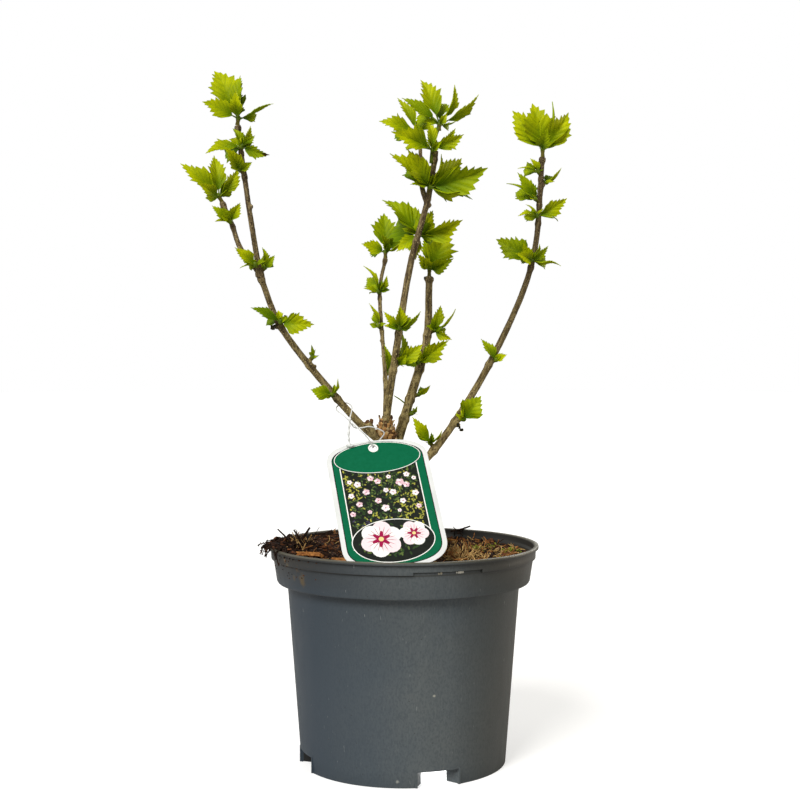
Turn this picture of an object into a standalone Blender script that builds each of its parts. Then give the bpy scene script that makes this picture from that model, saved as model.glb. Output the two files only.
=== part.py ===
"""A young rose of sharon in a round nursery pot, with its hanging label.

Metres, +Z up. The origin is on the pot's axis, on the surface that the pot stands on.
The front is -Y. Routes and sizes of the plant are given in millimetres and scaled by MM.
"""

import math
import random

import bmesh
import bpy
import numpy as np
from mathutils import Matrix, Vector

MM = 0.001
GAP = 0.0003

# Pot: an outer profile that steps out to a collar of two bands and a lip
POT_SEGMENTS = 48
FACET = 360 / POT_SEGMENTS
RIM_RADIUS = 0.0950
RIM_HEIGHT = 0.1528
LIP_HEIGHT = 0.0022
BAND_STEP_HEIGHT = 0.1437
BAND_STEP = 0.0016
COLLAR_TOP_RADIUS = 0.0913
COLLAR_FOOT_RADIUS = 0.0890
COLLAR_FOOT_HEIGHT = 0.1273
WALL_TOP_RADIUS = 0.0816
FOOT_RADIUS = 0.0721
WALL = 0.0013
FLOOR_UNDERSIDE = 0.0110
FLOOR_THICKNESS = 0.0015
HUB_RADIUS = 0.0220
BEVEL = 0.0004
COLLAR_BEVEL = 0.0014
NOTCH_AXIS = 2.5 * FACET
NOTCH_AXES = (NOTCH_AXIS, NOTCH_AXIS + 90, NOTCH_AXIS + 180, NOTCH_AXIS + 270)
NOTCH_WIDTH = 0.0290
NOTCH_THROAT = 0.0174
NOTCH_DEPTH = 0.0090
FLANK_DEPTH = 0.0086
FLANK_LAP = 0.0003
RECESS_AXES = (NOTCH_AXIS, NOTCH_AXIS + 180)
RECESS_FACETS = 4
RECESS_HEIGHT = 0.0021
CUTTER_OVERRUN = 0.0020

# Compost: a mound to the left, a hollow at the back right, a flat seat for the trunk
COMPOST_SEGMENTS = 36
COMPOST_LEVEL = 0.1455
SEAT_LEVEL = 0.1460
SEAT_RADIUS = 0.0135
MOUND_PEAK = 0.0085
MOUND_PLACE = (-0.076, -0.008)
MOUND_SPREAD = 0.026
FRONT_BANK = 0.0028
LUMP_HEIGHT = 0.0007
COMPOST_RINGS = (1.0, 0.92, 0.79, 0.63, 0.46, 0.30)
LABEL_DENT = 0.0035
LABEL_DENT_PLACE = (-0.006, -0.084)
LABEL_DENT_SIZE = (0.024, 0.007)

# Each limb: the limbs it is cut clear of, its route's points, its radii at foot and tip, in mm
LIMBS = {
    "trunk": ((), ((0, 0, 146.3), (-3, 1, 182), (-9, 2, 214), (-12, 4, 226)), (12.0, 6.4)),
    "left_bough": (
        ("trunk",),
        ((-5, 1, 217), (-23, -5, 231), (-43, -12, 252), (-82, -26, 302), (-97, -36, 339)),
        (3.0, 2.15),
    ),
    "tall_bough": (
        ("trunk", "left_bough"),
        ((-11, 3, 220), (-12, 0, 240), (-3, -14, 302), (5, -20, 349), (17, -25, 394), (24, -30, 438)),
        (3.1, 1.9),
    ),
    "stout_bough": (
        ("trunk", "tall_bough"),
        ((-7, 8, 215), (6, 26, 258), (17, 38, 296), (19, 46, 343)),
        (3.9, 2.6),
    ),
    "slim_bough": (
        ("trunk", "tall_bough", "stout_bough"),
        ((-13, 5, 232), (-13, 16, 271), (-17, 32, 328), (-13, 38, 356)),
        (1.8, 1.45),
    ),
    "right_bough": (
        ("trunk", "stout_bough"),
        ((-4, 2, 193), (27, 18, 224), (63, 36, 280), (94, 46, 352), (101, 38, 429)),
        (3.1, 1.95),
    ),
    "left_inner_arm": (
        ("left_bough",),
        ((-97, -36, 339), (-103.5, -46, 385), (-110, -54, 438)),
        (2.1, 1.8),
    ),
    "left_outer_arm": (
        ("left_bough", "left_inner_arm"),
        ((-97.5, -36, 342), (-111, -26, 358), (-118, -20, 376), (-125, -16, 391)),
        (2.1, 1.7),
    ),
    "tall_left_arm": (
        ("tall_bough",),
        ((16, -24.5, 391), (13, -14, 401), (12, 2, 422), (12, 12, 450)),
        (1.9, 1.4),
    ),
}
LIMB_SIDES = {"trunk": 12}
LIMB_STATION = 0.015
SAMPLES_PER_STATION = 6
COLLAR_SWELL = 0.35
COLLAR_REACH = 0.007
FLARE_HEIGHT = 0.012
CROWN_SWELL = 0.0012
CROWN_SWELL_RISE = 6
CROWN_CAP = (-0.0005, 0.0005, 0.0035)
CROWN_CAP_SHARE = 0.62
PRUNED_STUB = ((-22, -4, 231), (-25, -8, 238.5))
PRUNED_STUB_RADIUS = 0.0029

# Each leafy shoot: its limb, its height in mm, its spur as (bearing, lean, mm), and its leading leaves
# as (bearing, reach in mm, lean, roll). A bearing turns from straight up towards +X, a lean is
# towards the front, a reach is measured as seen from the front, and a roll turns a leaf on its rib.
SHOOTS = (
    ("left_inner_tip", "left_inner_arm", 438, (10, 10, 4),
     ((-29, 39, -20, 20), (-66, 25, 15, 15), (0, 16, 35, 0), (57, 25, 0, 75), (-2, 29, -25, 60))),
    ("left_inner_high", "left_inner_arm", 421, (32, 65, 6),
     ((-102, 24, 10, 35), (-24, 14, -10, 40), (26, 15, 0, 40), (108, 19, 15, 25), (53, 11, 20, 10))),
    ("left_inner_mid", "left_inner_arm", 406, (-46, 52, 6), ((-31, 14, 30, 10), (64, 10, 15, 20))),
    ("left_fork_right", "left_inner_arm", 341, (45, 11, 5), ((-3, 14, 10, 50), (40, 11, 15, 0))),
    ("left_fork_left", "left_inner_arm", 344, (-41, 65, 6), ((-47, 18, 20, 20), (-98, 10, 30, 80))),
    ("left_outer_tip", "left_outer_arm", 391, (-31, 0, 4),
     ((-48, 34, 10, 25), (-6, 30, -15, 15), (34, 24, 0, 35), (-59, 14, 45, 0))),
    ("left_outer_mid", "left_outer_arm", 375, (-26, 70, 5),
     ((-45, 16, 15, 20), (-22, 11, 25, 10), (28, 15, 10, 0), (-90, 10, 20, 50))),
    ("left_low_pair", "left_bough", 306, (12, 68, 5), ((-64, 22, 5, 35), (95, 23, 15, 0))),
    ("left_low_bud", "left_bough", 280, (39, 0, 5), ((-5, 9, 0, 30),)),
    ("left_foot_pair", "left_bough", 257, (-65, 68, 6), ((-72, 15, 15, 0), (20, 12, 10, 55))),
    ("slim_tip", "slim_bough", 356, (0, 0, 4),
     ((-72, 18, 20, 10), (0, 29, -15, 0), (36, 25, -5, 20), (54, 17, 10, 70))),
    ("slim_high", "slim_bough", 328, (-14, 55, 5), ((-27, 22, 0, 60), (-75, 11, 20, 30), (27, 13, 15, 40))),
    ("slim_mid", "slim_bough", 304, (-45, 45, 4), ((-21, 18, 10, 50),)),
    ("slim_low", "slim_bough", 270, (34, -38, 4), ((-4, 21, 5, 45),)),
    ("tall_low", "tall_bough", 276, (45, -19, 5), ((49, 22, 10, 10), (9, 23, -10, 60))),
    ("tall_mid", "tall_bough", 302, (0, 68, 5),
     ((-40, 16, 15, 0), (0, 16, 20, 15), (52, 19, 5, 60), (-79, 11, 10, 40))),
    ("tall_back", "tall_bough", 365, (30, -64, 8),
     ((-44, 36, -5, 40), (-28, 25, -20, 20), (28, 20, -15, 15), (71, 32, 0, 30), (-122, 19, 10, 20),
      (-173, 17, 5, 20))),
    ("tall_fork", "tall_bough", 394, (6, 35, 7),
     ((-51, 35, 10, 30), (-32, 28, 25, 0), (73, 41, 10, 20), (49, 31, -10, 10), (96, 26, 10, 65),
      (24, 24, 0, 50))),
    ("tall_high", "tall_bough", 420, (-20, 49, 7),
     ((-70, 30, 10, 15), (64, 23, 15, 15), (-8, 20, 0, 30), (48, 21, 5, 40))),
    ("tall_tip", "tall_bough", 438, (5, 0, 4),
     ((-54, 31, 5, 20), (-23, 34, -10, 20), (22, 29, 0, 65), (56, 33, 5, 45), (80, 12, 10, 60))),
    ("tall_left_tip", "tall_left_arm", 439, (-39, 54, 5),
     ((-74, 28, 10, 10), (-30, 29, -5, 25), (11, 15, -20, 30))),
    ("stout_tip", "stout_bough", 343, (2, 0, 5),
     ((26, 33, -5, 10), (69, 18, 30, 15), (-38, 13, 40, 0), (-10, 24, -10, 30))),
    ("stout_right", "stout_bough", 301, (67, 20, 6), ((13, 19, 0, 15), (48, 22, 5, 70), (120, 14, 15, 25))),
    ("stout_mid", "stout_bough", 277, (-27, 61, 7), ((55, 27, 15, 5), (-39, 15, 20, 20), (4, 10, 35, 0))),
    ("stout_low", "stout_bough", 255, (72, 0, 6), ((50, 11, 5, 30),)),
    ("stout_foot", "stout_bough", 241, (62, 22, 6), ((36, 7, 10, 40),)),
    ("right_foot", "right_bough", 219, (-45, 11, 5), ((-35, 23, 10, 5), (41, 13, 0, 60))),
    ("right_low", "right_bough", 239, (88, 31, 6), ((36, 21, 15, 0), (5, 15, 5, 35))),
    ("right_mid", "right_bough", 280, (67, 28, 5), ((-33, 19, 10, 20),)),
    ("right_high", "right_bough", 351, (-8, 56, 6),
     ((-59, 30, 10, 10), (-25, 14, 25, 0), (86, 21, 0, 75), (49, 16, 10, 30), (28, 14, -10, 50))),
    ("right_upper", "right_bough", 383, (-21, 56, 6),
     ((-84, 14, 10, 60), (-43, 12, 20, 50), (58, 25, 5, 20))),
    ("right_left", "right_bough", 396, (-51, 36, 5), ((-37, 23, 15, 0), (-60, 24, 5, 50))),
    ("right_side", "right_bough", 408, (45, -30, 4), ((50, 17, 5, 60),)),
    ("right_near_tip", "right_bough", 415, (-37, 36, 5), ((-79, 15, 5, 65), (-27, 11, 10, 40))),
    ("right_tip", "right_bough", 429, (0, 0, 5),
     ((-39, 36, 20, 0), (-16, 34, 25, 0), (35, 33, 10, 10), (50, 25, 10, 55), (12, 38, -15, 70))),
)
SPUR_RADIUS = 0.0013
BUD_RADIUS = 0.0019
REAR_LEAN = -52
REAR_SHARE = 0.62
LEANS = (0, 8, -8, 16, -16, 24, -24, 32, -32, 40)
MOST_LEAN = 62
LIMB_CLEARANCE = 0.0008
LEAF_CLEARANCE = 0.0030
SEED = 11

# Leaf outline as (share of length, half width as a share of length), on large, small and tiny leaves
LARGE_LEAF = ((0, 0.022), (0.17, 0.020), (0.34, 0.18), (0.53, 0.25), (0.64, 0.17), (0.77, 0.15), (1, 0))
SMALL_LEAF = ((0, 0.030), (0.20, 0.028), (0.52, 0.24), (0.76, 0.15), (1, 0))
TINY_LEAF = ((0, 0.040), (0.20, 0.040), (0.58, 0.24), (1, 0))
SMALL_LEAF_REACH = 19
TINY_LEAF_REACH = 12
LEAF_RIB = 0.0008
LEAF_FOLD = 0.30
EDGE_ON_NARROWING = 0.4
LEAF_ARCH = 0.07

# Label: a thin card that stands in the compost and leans back on the left bough
LABEL_WIDTH = 0.0700
LABEL_THICKNESS = 0.0006
LABEL_SIDE_TOP = -0.0100
LABEL_SIDE_FOOT = -0.0800
LABEL_TOP_RISE = 0.0165
LABEL_FOOT_DROP = 0.0200
LABEL_CORNER_POWER = 2.5
LABEL_ARCH_STEPS = 14
LABEL_HOLE_RADIUS = 0.0022
LABEL_HOLE_PLACE = (-0.021, -0.0175, 0.2210)
LABEL_LEAN_BACK = 41.5
LABEL_TURN = 4.0
LABEL_TILT = 7.0
LABEL_HOLE_OFFSET = -0.0015

# Tie: a white elastic loop through the label's hole and round the left bough, with its moulded bar
TIE_RADIUS = 0.00045
TIE_AT_LABEL = ((6.5, 8.6, -1.3), (2.6, 5.0, -1.7), (0.3, 2.2, -1.7), (0, 1.35, 0.3), (-0.5, 1.5, 2.4))
TIE_AT_BOUGH = (
    (-26.5, -21.0, 230.7), (-36.9, -20.5, 240), (-42.1, -19.0, 244.7), (-45.7, -15.5, 247),
    (-46.6, -10, 249.2), (-44.0, -5.5, 251.5), (-39.5, -4.5, 252.2), (-36.2, -8.0, 250.2),
    (-36.0, -14.5, 246.6),
    (-37.0, -18.0, 241), (-34.2, -17.5, 235.9), (-29.4, -16.5, 235.4), (-23.9, -15.5, 236.2),
    (-17.7, -14, 234.6), (-13.4, -11.8, 231.6),
)
BAR_ROUTE = ((-37.0, -18.0, 241.6), (-37.9, -19.5, 233.4), (-36.9, -20, 223.8))
BAR_RADIUS = 0.0009

COLORS = {
    "pot": ((0.082, 0.098, 0.116, 1), 0.55),
    "compost": ((0.050, 0.022, 0.011, 1), 0.95),
    "bark": ((0.200, 0.145, 0.085, 1), 0.85),
    "leaf": ((0.260, 0.400, 0.025, 1), 0.50),
    "label": ((0.820, 0.820, 0.800, 1), 0.30),
    "tie": ((0.800, 0.800, 0.800, 1), 0.40),
}


def clear_scene():
    for obj in list(bpy.data.objects):
        bpy.data.objects.remove(obj)


def material(kind):
    found = bpy.data.materials.get(kind)
    if found:
        return found
    color, roughness = COLORS[kind]
    made = bpy.data.materials.new(kind)
    made.use_nodes = True
    shader = made.node_tree.nodes["Principled BSDF"]
    shader.inputs["Base Color"].default_value = color
    shader.inputs["Roughness"].default_value = roughness
    return made


def add_object(name, bm, kind, smooth=True):
    """Makes a scene object of the bmesh, with its faces turned outwards."""
    bmesh.ops.recalc_face_normals(bm, faces=bm.faces)
    mesh = bpy.data.meshes.new(name)
    bm.to_mesh(mesh)
    bm.free()
    mesh.materials.append(material(kind))
    if smooth:
        mesh.shade_smooth()
        mesh.set_sharp_from_angle(angle=math.radians(35))
    obj = bpy.data.objects.new(name, mesh)
    bpy.context.scene.collection.objects.link(obj)
    return obj


def loft(rings, closed=False):
    """Joins rings of points into a skin. A ring of one point is a tip, and open ends are capped."""
    bm = bmesh.new()
    rows = [[bm.verts.new(point) for point in ring] for ring in rings]
    pairs = list(zip(rows, rows[1:]))
    if closed:
        pairs.append((rows[-1], rows[0]))
    for low, high in pairs:
        count = max(len(low), len(high))
        for i in range(count):
            j = (i + 1) % count
            if len(high) == 1:
                bm.faces.new((low[i], low[j], high[0]))
            elif len(low) == 1:
                bm.faces.new((low[0], high[j], high[i]))
            else:
                bm.faces.new((low[i], low[j], high[j], high[i]))
    if not closed:
        for end in (rows[0], rows[-1]):
            if len(end) > 1:
                bm.faces.new(end)
    return bm


def smooth_route(points, steps, closed=False):
    """Reads a Catmull-Rom curve through the points, with some steps to each leg."""
    knots = [Vector(point) * MM for point in points]
    count = len(knots)
    if closed:
        legs = [[knots[(i + k) % count] for k in (-1, 0, 1, 2)] for i in range(count)]
    else:
        knots = [knots[0] * 2 - knots[1]] + knots + [knots[-1] * 2 - knots[-2]]
        legs = [knots[i : i + 4] for i in range(count - 1)]
    route = []
    for (a, b, c, d), leg_steps in zip(legs, steps):
        for step in range(leg_steps):
            t = step / leg_steps
            bend = (2 * a - 5 * b + 4 * c - d) * t**2 + (3 * b - 3 * c + d - a) * t**3
            route.append(0.5 * (2 * b + (c - a) * t + bend))
    if not closed:
        route.append(knots[-2])
    return route


def tube_rings(route, radii, sides, closed=False):
    """Places a round ring at each point of the route, square to it, without twist."""
    count = len(route)
    rings = []
    side = Vector((1, 0, 0))
    for i, point in enumerate(route):
        before = route[i - 1] if i or closed else point
        after = route[(i + 1) % count] if i < count - 1 or closed else point
        along = (after - before).normalized()
        side = (side - along * side.dot(along)).normalized()
        across = along.cross(side)
        turns = [2 * math.pi * k / sides for k in range(sides)]
        rings.append([point + (side * math.cos(a) + across * math.sin(a)) * radii[i] for a in turns])
    return rings


def limb_route(name):
    points = LIMBS[name][1]
    legs = [(Vector(b) - Vector(a)).length * MM for a, b in zip(points, points[1:])]
    return smooth_route(points, [max(2, round(leg / LIMB_STATION)) for leg in legs])


def limb_radii(name, route):
    """The limb's radius at each point of its route: an even taper, with a swollen collar at its foot."""
    foot, tip = (radius * MM for radius in LIMBS[name][2])
    last = len(route) - 1
    radii = []
    for i, point in enumerate(route):
        swell = COLLAR_SWELL * math.exp(-(point - route[0]).length / COLLAR_REACH)
        radii.append((foot + (tip - foot) * i / last) * (1 + swell))
    return radii


def limb_body(name, margin=0.0):
    """Makes the tapering tube of a limb, or a copy that stands out from it by a margin all over."""
    route = limb_route(name)
    radii = [radius + margin for radius in limb_radii(name, route)]
    if margin:
        route[0] = route[0] + (route[0] - route[1]).normalized() * margin
        route[-1] = route[-1] + (route[-1] - route[-2]).normalized() * margin
    return loft(tube_rings(route, radii, LIMB_SIDES.get(name, 8)))


def trunk_body(margin=0.0):
    """Makes the trunk with its root flare, cut flat where it stands, and its rounded crown."""
    route = limb_route("trunk")
    foot, top = (radius * MM for radius in LIMBS["trunk"][2])
    radii = []
    for point in route:
        rise = (point.z - route[0].z) / FLARE_HEIGHT
        swell = CROWN_SWELL * math.exp(-((rise - CROWN_SWELL_RISE) ** 2))
        radii.append(top + (foot - top) * math.exp(-rise) + swell + margin)
    rings = tube_rings(route, radii, LIMB_SIDES["trunk"])
    for point in rings[0]:
        point.z = route[0].z
    cap = route[-1] + Vector(CROWN_CAP) + Vector((0, 0, margin))
    rings.append([cap + (point - route[-1]) * CROWN_CAP_SHARE for point in rings[-1]])
    return loft(rings)


def cutter(name):
    """Makes a hidden copy of a limb, larger by the gap, that clears room for the limb."""
    bm = trunk_body(GAP) if name == "trunk" else limb_body(name, GAP)
    obj = add_object(name + "_cutter", bm, "bark")
    obj.hide_render = True
    obj.display_type = "WIRE"
    return obj


def apply_modifiers(obj):
    """Replaces the object's mesh by its evaluated one."""
    depsgraph = bpy.context.evaluated_depsgraph_get()
    mesh = bpy.data.meshes.new_from_object(obj.evaluated_get(depsgraph))
    obj.modifiers.clear()
    obj.data = mesh


def add_boolean(obj, operation, other, solver="EXACT"):
    modifier = obj.modifiers.new(operation.lower(), "BOOLEAN")
    modifier.operation = operation
    modifier.solver = solver
    if isinstance(other, bpy.types.Collection):
        modifier.operand_type = "COLLECTION"
        modifier.collection = other
    else:
        modifier.object = other


def keep_outer_skin(obj):
    """Drops the small shells that a Boolean leaves: scraps outside, and sealed hollows inside."""
    bm = bmesh.new()
    bm.from_mesh(obj.data)
    shells = []
    unseen = set(bm.faces)
    while unseen:
        shell = [unseen.pop()]
        for face in shell:
            for edge in face.edges:
                for other in edge.link_faces:
                    if other in unseen:
                        unseen.remove(other)
                        shell.append(other)
        shells.append(shell)
    shells.sort(key=len)
    for shell in shells[:-1]:
        bmesh.ops.delete(bm, geom=shell, context="FACES")
    loose = [vert for vert in bm.verts if not vert.link_faces]
    bmesh.ops.delete(bm, geom=loose, context="VERTS")
    bm.to_mesh(obj.data)
    bm.free()


def join_pieces(obj, others, clear_of=(), solver="MANIFOLD"):
    """Fuses the other objects into this one, cuts it clear of the named limbs, and applies both."""
    group = bpy.data.collections.new(obj.name + "_pieces")
    bpy.context.scene.collection.children.link(group)
    for other in others:
        bpy.context.scene.collection.objects.unlink(other)
        group.objects.link(other)
    if others:
        add_boolean(obj, "UNION", group, solver)
    for name in clear_of:
        add_boolean(obj, "DIFFERENCE", bpy.data.objects[name + "_cutter"], solver)
    apply_modifiers(obj)
    for other in others:
        bpy.data.objects.remove(other)
    bpy.data.collections.remove(group)
    keep_outer_skin(obj)


def inner_wall():
    """The inside of the pot as (radius, height), from the floor's edge to the lip."""
    floor = FLOOR_UNDERSIDE + FLOOR_THICKNESS
    slope = (WALL_TOP_RADIUS - FOOT_RADIUS) / COLLAR_FOOT_HEIGHT
    return (
        (FOOT_RADIUS + slope * floor - WALL, floor),
        (WALL_TOP_RADIUS - WALL, COLLAR_FOOT_HEIGHT),
        (COLLAR_FOOT_RADIUS - WALL, COLLAR_FOOT_HEIGHT + WALL),
        (COLLAR_TOP_RADIUS - WALL, BAND_STEP_HEIGHT + RECESS_HEIGHT + WALL),
        (COLLAR_TOP_RADIUS + BAND_STEP - WALL, BAND_STEP_HEIGHT + RECESS_HEIGHT + 2 * WALL),
        (COLLAR_TOP_RADIUS + BAND_STEP - WALL, RIM_HEIGHT),
    )


def pot_profile():
    """The pot's section as (radius, height), from the axis out under the floor and back inside."""
    ring_inner = FOOT_RADIUS - WALL
    band = COLLAR_TOP_RADIUS + BAND_STEP
    outside = (
        (0, 0),
        (HUB_RADIUS, 0),
        (HUB_RADIUS + WALL, FLOOR_UNDERSIDE),
        (ring_inner, FLOOR_UNDERSIDE),
        (ring_inner, 0),
        (FOOT_RADIUS, 0),
        (WALL_TOP_RADIUS, COLLAR_FOOT_HEIGHT - BEVEL),
        (COLLAR_FOOT_RADIUS - 2 * BEVEL, COLLAR_FOOT_HEIGHT),
        (COLLAR_FOOT_RADIUS, COLLAR_FOOT_HEIGHT + COLLAR_BEVEL),
        (COLLAR_TOP_RADIUS, BAND_STEP_HEIGHT),
        (band, BAND_STEP_HEIGHT + BEVEL),
        (band + BEVEL / 2, RIM_HEIGHT - LIP_HEIGHT),
        (RIM_RADIUS, RIM_HEIGHT - LIP_HEIGHT + BEVEL / 2),
        (RIM_RADIUS, RIM_HEIGHT - BEVEL),
        (RIM_RADIUS - BEVEL, RIM_HEIGHT),
    )
    floor_top = FLOOR_UNDERSIDE + FLOOR_THICKNESS
    return outside + tuple(reversed(inner_wall())) + ((0, floor_top),)


def spin_profile(profile, segments):
    bm = bmesh.new()
    verts = [bm.verts.new((radius, 0, height)) for radius, height in profile]
    edges = [bm.edges.new(pair) for pair in zip(verts, verts[1:])]
    turn = {"axis": (0, 0, 1), "cent": (0, 0, 0), "angle": 2 * math.pi}
    bmesh.ops.spin(bm, geom=verts + edges, steps=segments, use_merge=True, **turn)
    bmesh.ops.remove_doubles(bm, verts=bm.verts, dist=1e-6)
    return bm


def facing(degrees):
    """Turns a piece made at the front, on -Y, round the pot's axis."""
    return Matrix.Rotation(math.radians(degrees), 4, "Z")


def extrude_outline(outline, height):
    """Makes a prism on a flat outline of points, along +Z."""
    bm = bmesh.new()
    face = bm.faces.new([bm.verts.new(point) for point in outline])
    raised = bmesh.ops.extrude_face_region(bm, geom=[face])["geom"]
    moved = [item for item in raised if isinstance(item, bmesh.types.BMVert)]
    bmesh.ops.translate(bm, verts=moved, vec=(0, 0, height))
    return bm


def notch_outline(margin, depth=NOTCH_DEPTH):
    """The plan of a notch in the foot ring, narrower inwards, with its outer end beyond the wall."""
    outer = -WALL_TOP_RADIUS
    shoulder = -FOOT_RADIUS + WALL * 2
    throat = -FOOT_RADIUS + WALL + depth
    wide = NOTCH_WIDTH / 2 + margin
    narrow = NOTCH_THROAT / 2 + margin
    return (wide, outer), (wide, shoulder), (narrow, throat)


def notch_cutter(degrees):
    right = notch_outline(0)
    low = -CUTTER_OVERRUN
    outline = [(x, y, low) for x, y in right] + [(-x, y, low) for x, y in reversed(right)]
    bm = extrude_outline(outline, FLOOR_UNDERSIDE - GAP - low)
    bmesh.ops.transform(bm, matrix=facing(degrees), verts=bm.verts)
    return add_object("notch_cutter", bm, "pot")


def notch_flank(degrees, side):
    """A thin wall that runs inwards from the foot ring beside a notch, which the notch then trims."""
    _, near, far = notch_outline(-FLANK_LAP, FLANK_DEPTH)
    _, near_back, far_back = notch_outline(WALL, FLANK_DEPTH)
    lead = -FOOT_RADIUS + WALL * 0.4
    low = GAP
    points = ((near[0], lead), near, far, far_back, near_back, (near_back[0], lead))
    high = FLOOR_UNDERSIDE + FLOOR_THICKNESS / 2
    bm = extrude_outline([(x * side, y, low) for x, y in points], high - low)
    bmesh.ops.transform(bm, matrix=facing(degrees), verts=bm.verts)
    return add_object("notch_flank", bm, "pot")


def recess_cutter(degrees):
    """A short band that lifts the step between the collar's two bands."""
    inner = COLLAR_TOP_RADIUS - 0.0001
    outer = RIM_RADIUS + CUTTER_OVERRUN
    angles = [math.radians(FACET * (k - RECESS_FACETS / 2)) for k in range(RECESS_FACETS + 1)]
    low = BAND_STEP_HEIGHT - CUTTER_OVERRUN
    outline = [(outer * math.sin(a), -outer * math.cos(a), low) for a in angles]
    outline += [(inner * math.sin(a), -inner * math.cos(a), low) for a in reversed(angles)]
    bm = extrude_outline(outline, CUTTER_OVERRUN + RECESS_HEIGHT + BEVEL)
    bmesh.ops.transform(bm, matrix=facing(degrees), verts=bm.verts)
    return add_object("recess_cutter", bm, "pot")


def make_pot():
    pot = add_object("pot", spin_profile(pot_profile(), POT_SEGMENTS), "pot")
    flanks = [notch_flank(degrees, side) for degrees in NOTCH_AXES for side in (-1, 1)]
    for flank in flanks:
        add_boolean(pot, "UNION", flank)
    cutters = [notch_cutter(degrees) for degrees in NOTCH_AXES]
    cutters += [recess_cutter(degrees) for degrees in RECESS_AXES]
    for tool in cutters:
        add_boolean(pot, "DIFFERENCE", tool)
    apply_modifiers(pot)
    for tool in cutters + flanks:
        bpy.data.objects.remove(tool)


def compost_height(x, y):
    """The compost's surface: a gentle bank at the front, a mound at the left, small lumps all over."""
    reach = math.hypot(x - MOUND_PLACE[0], y - MOUND_PLACE[1])
    mound = MOUND_PEAK * math.exp(-((reach / MOUND_SPREAD) ** 2))
    bank = FRONT_BANK * max(0.0, -y / RIM_RADIUS) ** 2
    lumps = LUMP_HEIGHT * (math.sin(190 * x + 2) * math.sin(230 * y) + math.sin(410 * x - 330 * y))
    aside = (x - LABEL_DENT_PLACE[0]) / LABEL_DENT_SIZE[0]
    ahead = (y - LABEL_DENT_PLACE[1]) / LABEL_DENT_SIZE[1]
    dent = LABEL_DENT * math.exp(-(aside**4) - ahead**2)
    height = COMPOST_LEVEL + mound + bank + lumps - dent
    seat = min(1.0, max(0.0, math.hypot(x, y) / SEAT_RADIUS - 1.0))
    return SEAT_LEVEL + (height - SEAT_LEVEL) * seat


def make_compost():
    shrink = math.cos(math.pi / POT_SEGMENTS)
    wall = [(radius * shrink - GAP, height) for radius, height in inner_wall()]
    rows = [(wall[0][0], wall[0][1] + GAP)]
    rows += [(wall[1][0], wall[1][1]), (wall[2][0], wall[2][1] + GAP)]
    edge = wall[3][0] - GAP
    turns = [2 * math.pi * k / COMPOST_SEGMENTS for k in range(COMPOST_SEGMENTS)]
    rings = []
    for radius, height in rows:
        rings.append([(radius * math.cos(a), radius * math.sin(a), height) for a in turns])
    for share in (*COMPOST_RINGS, SEAT_RADIUS / edge):
        radius = edge * share
        ring = [(radius * math.cos(a), radius * math.sin(a)) for a in turns]
        rings.append([(x, y, compost_height(x, y)) for x, y in ring])
    add_object("compost", loft(rings), "compost")


def make_limbs():
    for name in LIMBS:
        cutter(name)
    for name, (clear_of, _, _) in LIMBS.items():
        bm = trunk_body() if name == "trunk" else limb_body(name)
        obj = add_object(name, bm, "bark")
        extra = [make_stub()] if name == "left_bough" else []
        join_pieces(obj, extra, clear_of, "EXACT")


def make_stub():
    """The short end that pruning left above the crown."""
    low, high = (Vector(point) * MM for point in PRUNED_STUB)
    rings = tube_rings([low, high], [PRUNED_STUB_RADIUS, PRUNED_STUB_RADIUS * 0.8], 7)
    return add_object("pruned_stub", loft(rings), "bark")


def limb_samples():
    """Points along every limb, close together, as rows of x, y, z and radius."""
    rows = []
    for name in LIMBS:
        route = limb_route(name)
        radii = limb_radii(name, route)
        for a, b, low, high in zip(route, route[1:], radii, radii[1:]):
            for k in range(SAMPLES_PER_STATION):
                share = k / SAMPLES_PER_STATION
                rows.append((*a.lerp(b, share), low + (high - low) * share))
    return np.array(rows)


def point_on_limb(name, height):
    """The point of the limb's axis at a height in mm."""
    route = limb_route(name)
    for a, b in zip(route, route[1:]):
        if a.z <= height * MM <= b.z:
            return a.lerp(b, (height * MM - a.z) / (b.z - a.z))
    return route[-1]


def heading(bearing, lean):
    bearing, lean = math.radians(bearing), math.radians(lean)
    return Vector((math.sin(bearing) * math.cos(lean), -math.sin(lean), math.cos(bearing) * math.cos(lean)))


def leaf_sections(root, leaf, stations):
    """The leaf's sections from stalk to tip, each as left edge, rib top, right edge and rib underside."""
    bearing, reach, lean, roll = leaf
    along = heading(bearing, lean)
    length = reach * MM / math.cos(math.radians(lean))
    front = Vector((0, -1, 0))
    face = (front - along * front.dot(along)).normalized()
    face.rotate(Matrix.Rotation(math.radians(roll), 3, along))
    side = along.cross(face)
    narrowing = 1 - EDGE_ON_NARROWING * abs(roll) / 90
    sections = []
    for share, half in stations:
        middle = root + along * (length * share) + face * (4 * LEAF_ARCH * length * share * (1 - share))
        if half == 0:
            sections.append([middle])
            continue
        lift = face * (half * length * narrowing * LEAF_FOLD)
        reach_out = side * (half * length * narrowing)
        rib = face * (LEAF_RIB / 2)
        sections.append([middle - reach_out + lift, middle + rib, middle + reach_out + lift, middle - rib])
    return sections


def leaf_samples(root, leaf):
    """Points spread over the blade, without its stalk, for telling whether it is clear of other things."""
    rows = []
    for left, top, right, _ in leaf_sections(root, leaf, [row for row in LARGE_LEAF if 0 < row[1]])[2:]:
        rows += [left.lerp(top, k / 3) for k in range(4)]
        rows += [right.lerp(top, k / 3) for k in range(3)]
    rows += [section[0] for section in leaf_sections(root, leaf, ((0.92, 0), (1, 0)))]
    return np.array(rows)


def is_clear(samples, others, clearance):
    if not len(others):
        return True
    apart = np.linalg.norm(samples[:, None, :] - others[None, :, :3], axis=2) - others[None, :, 3]
    return apart.min() > clearance


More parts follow.
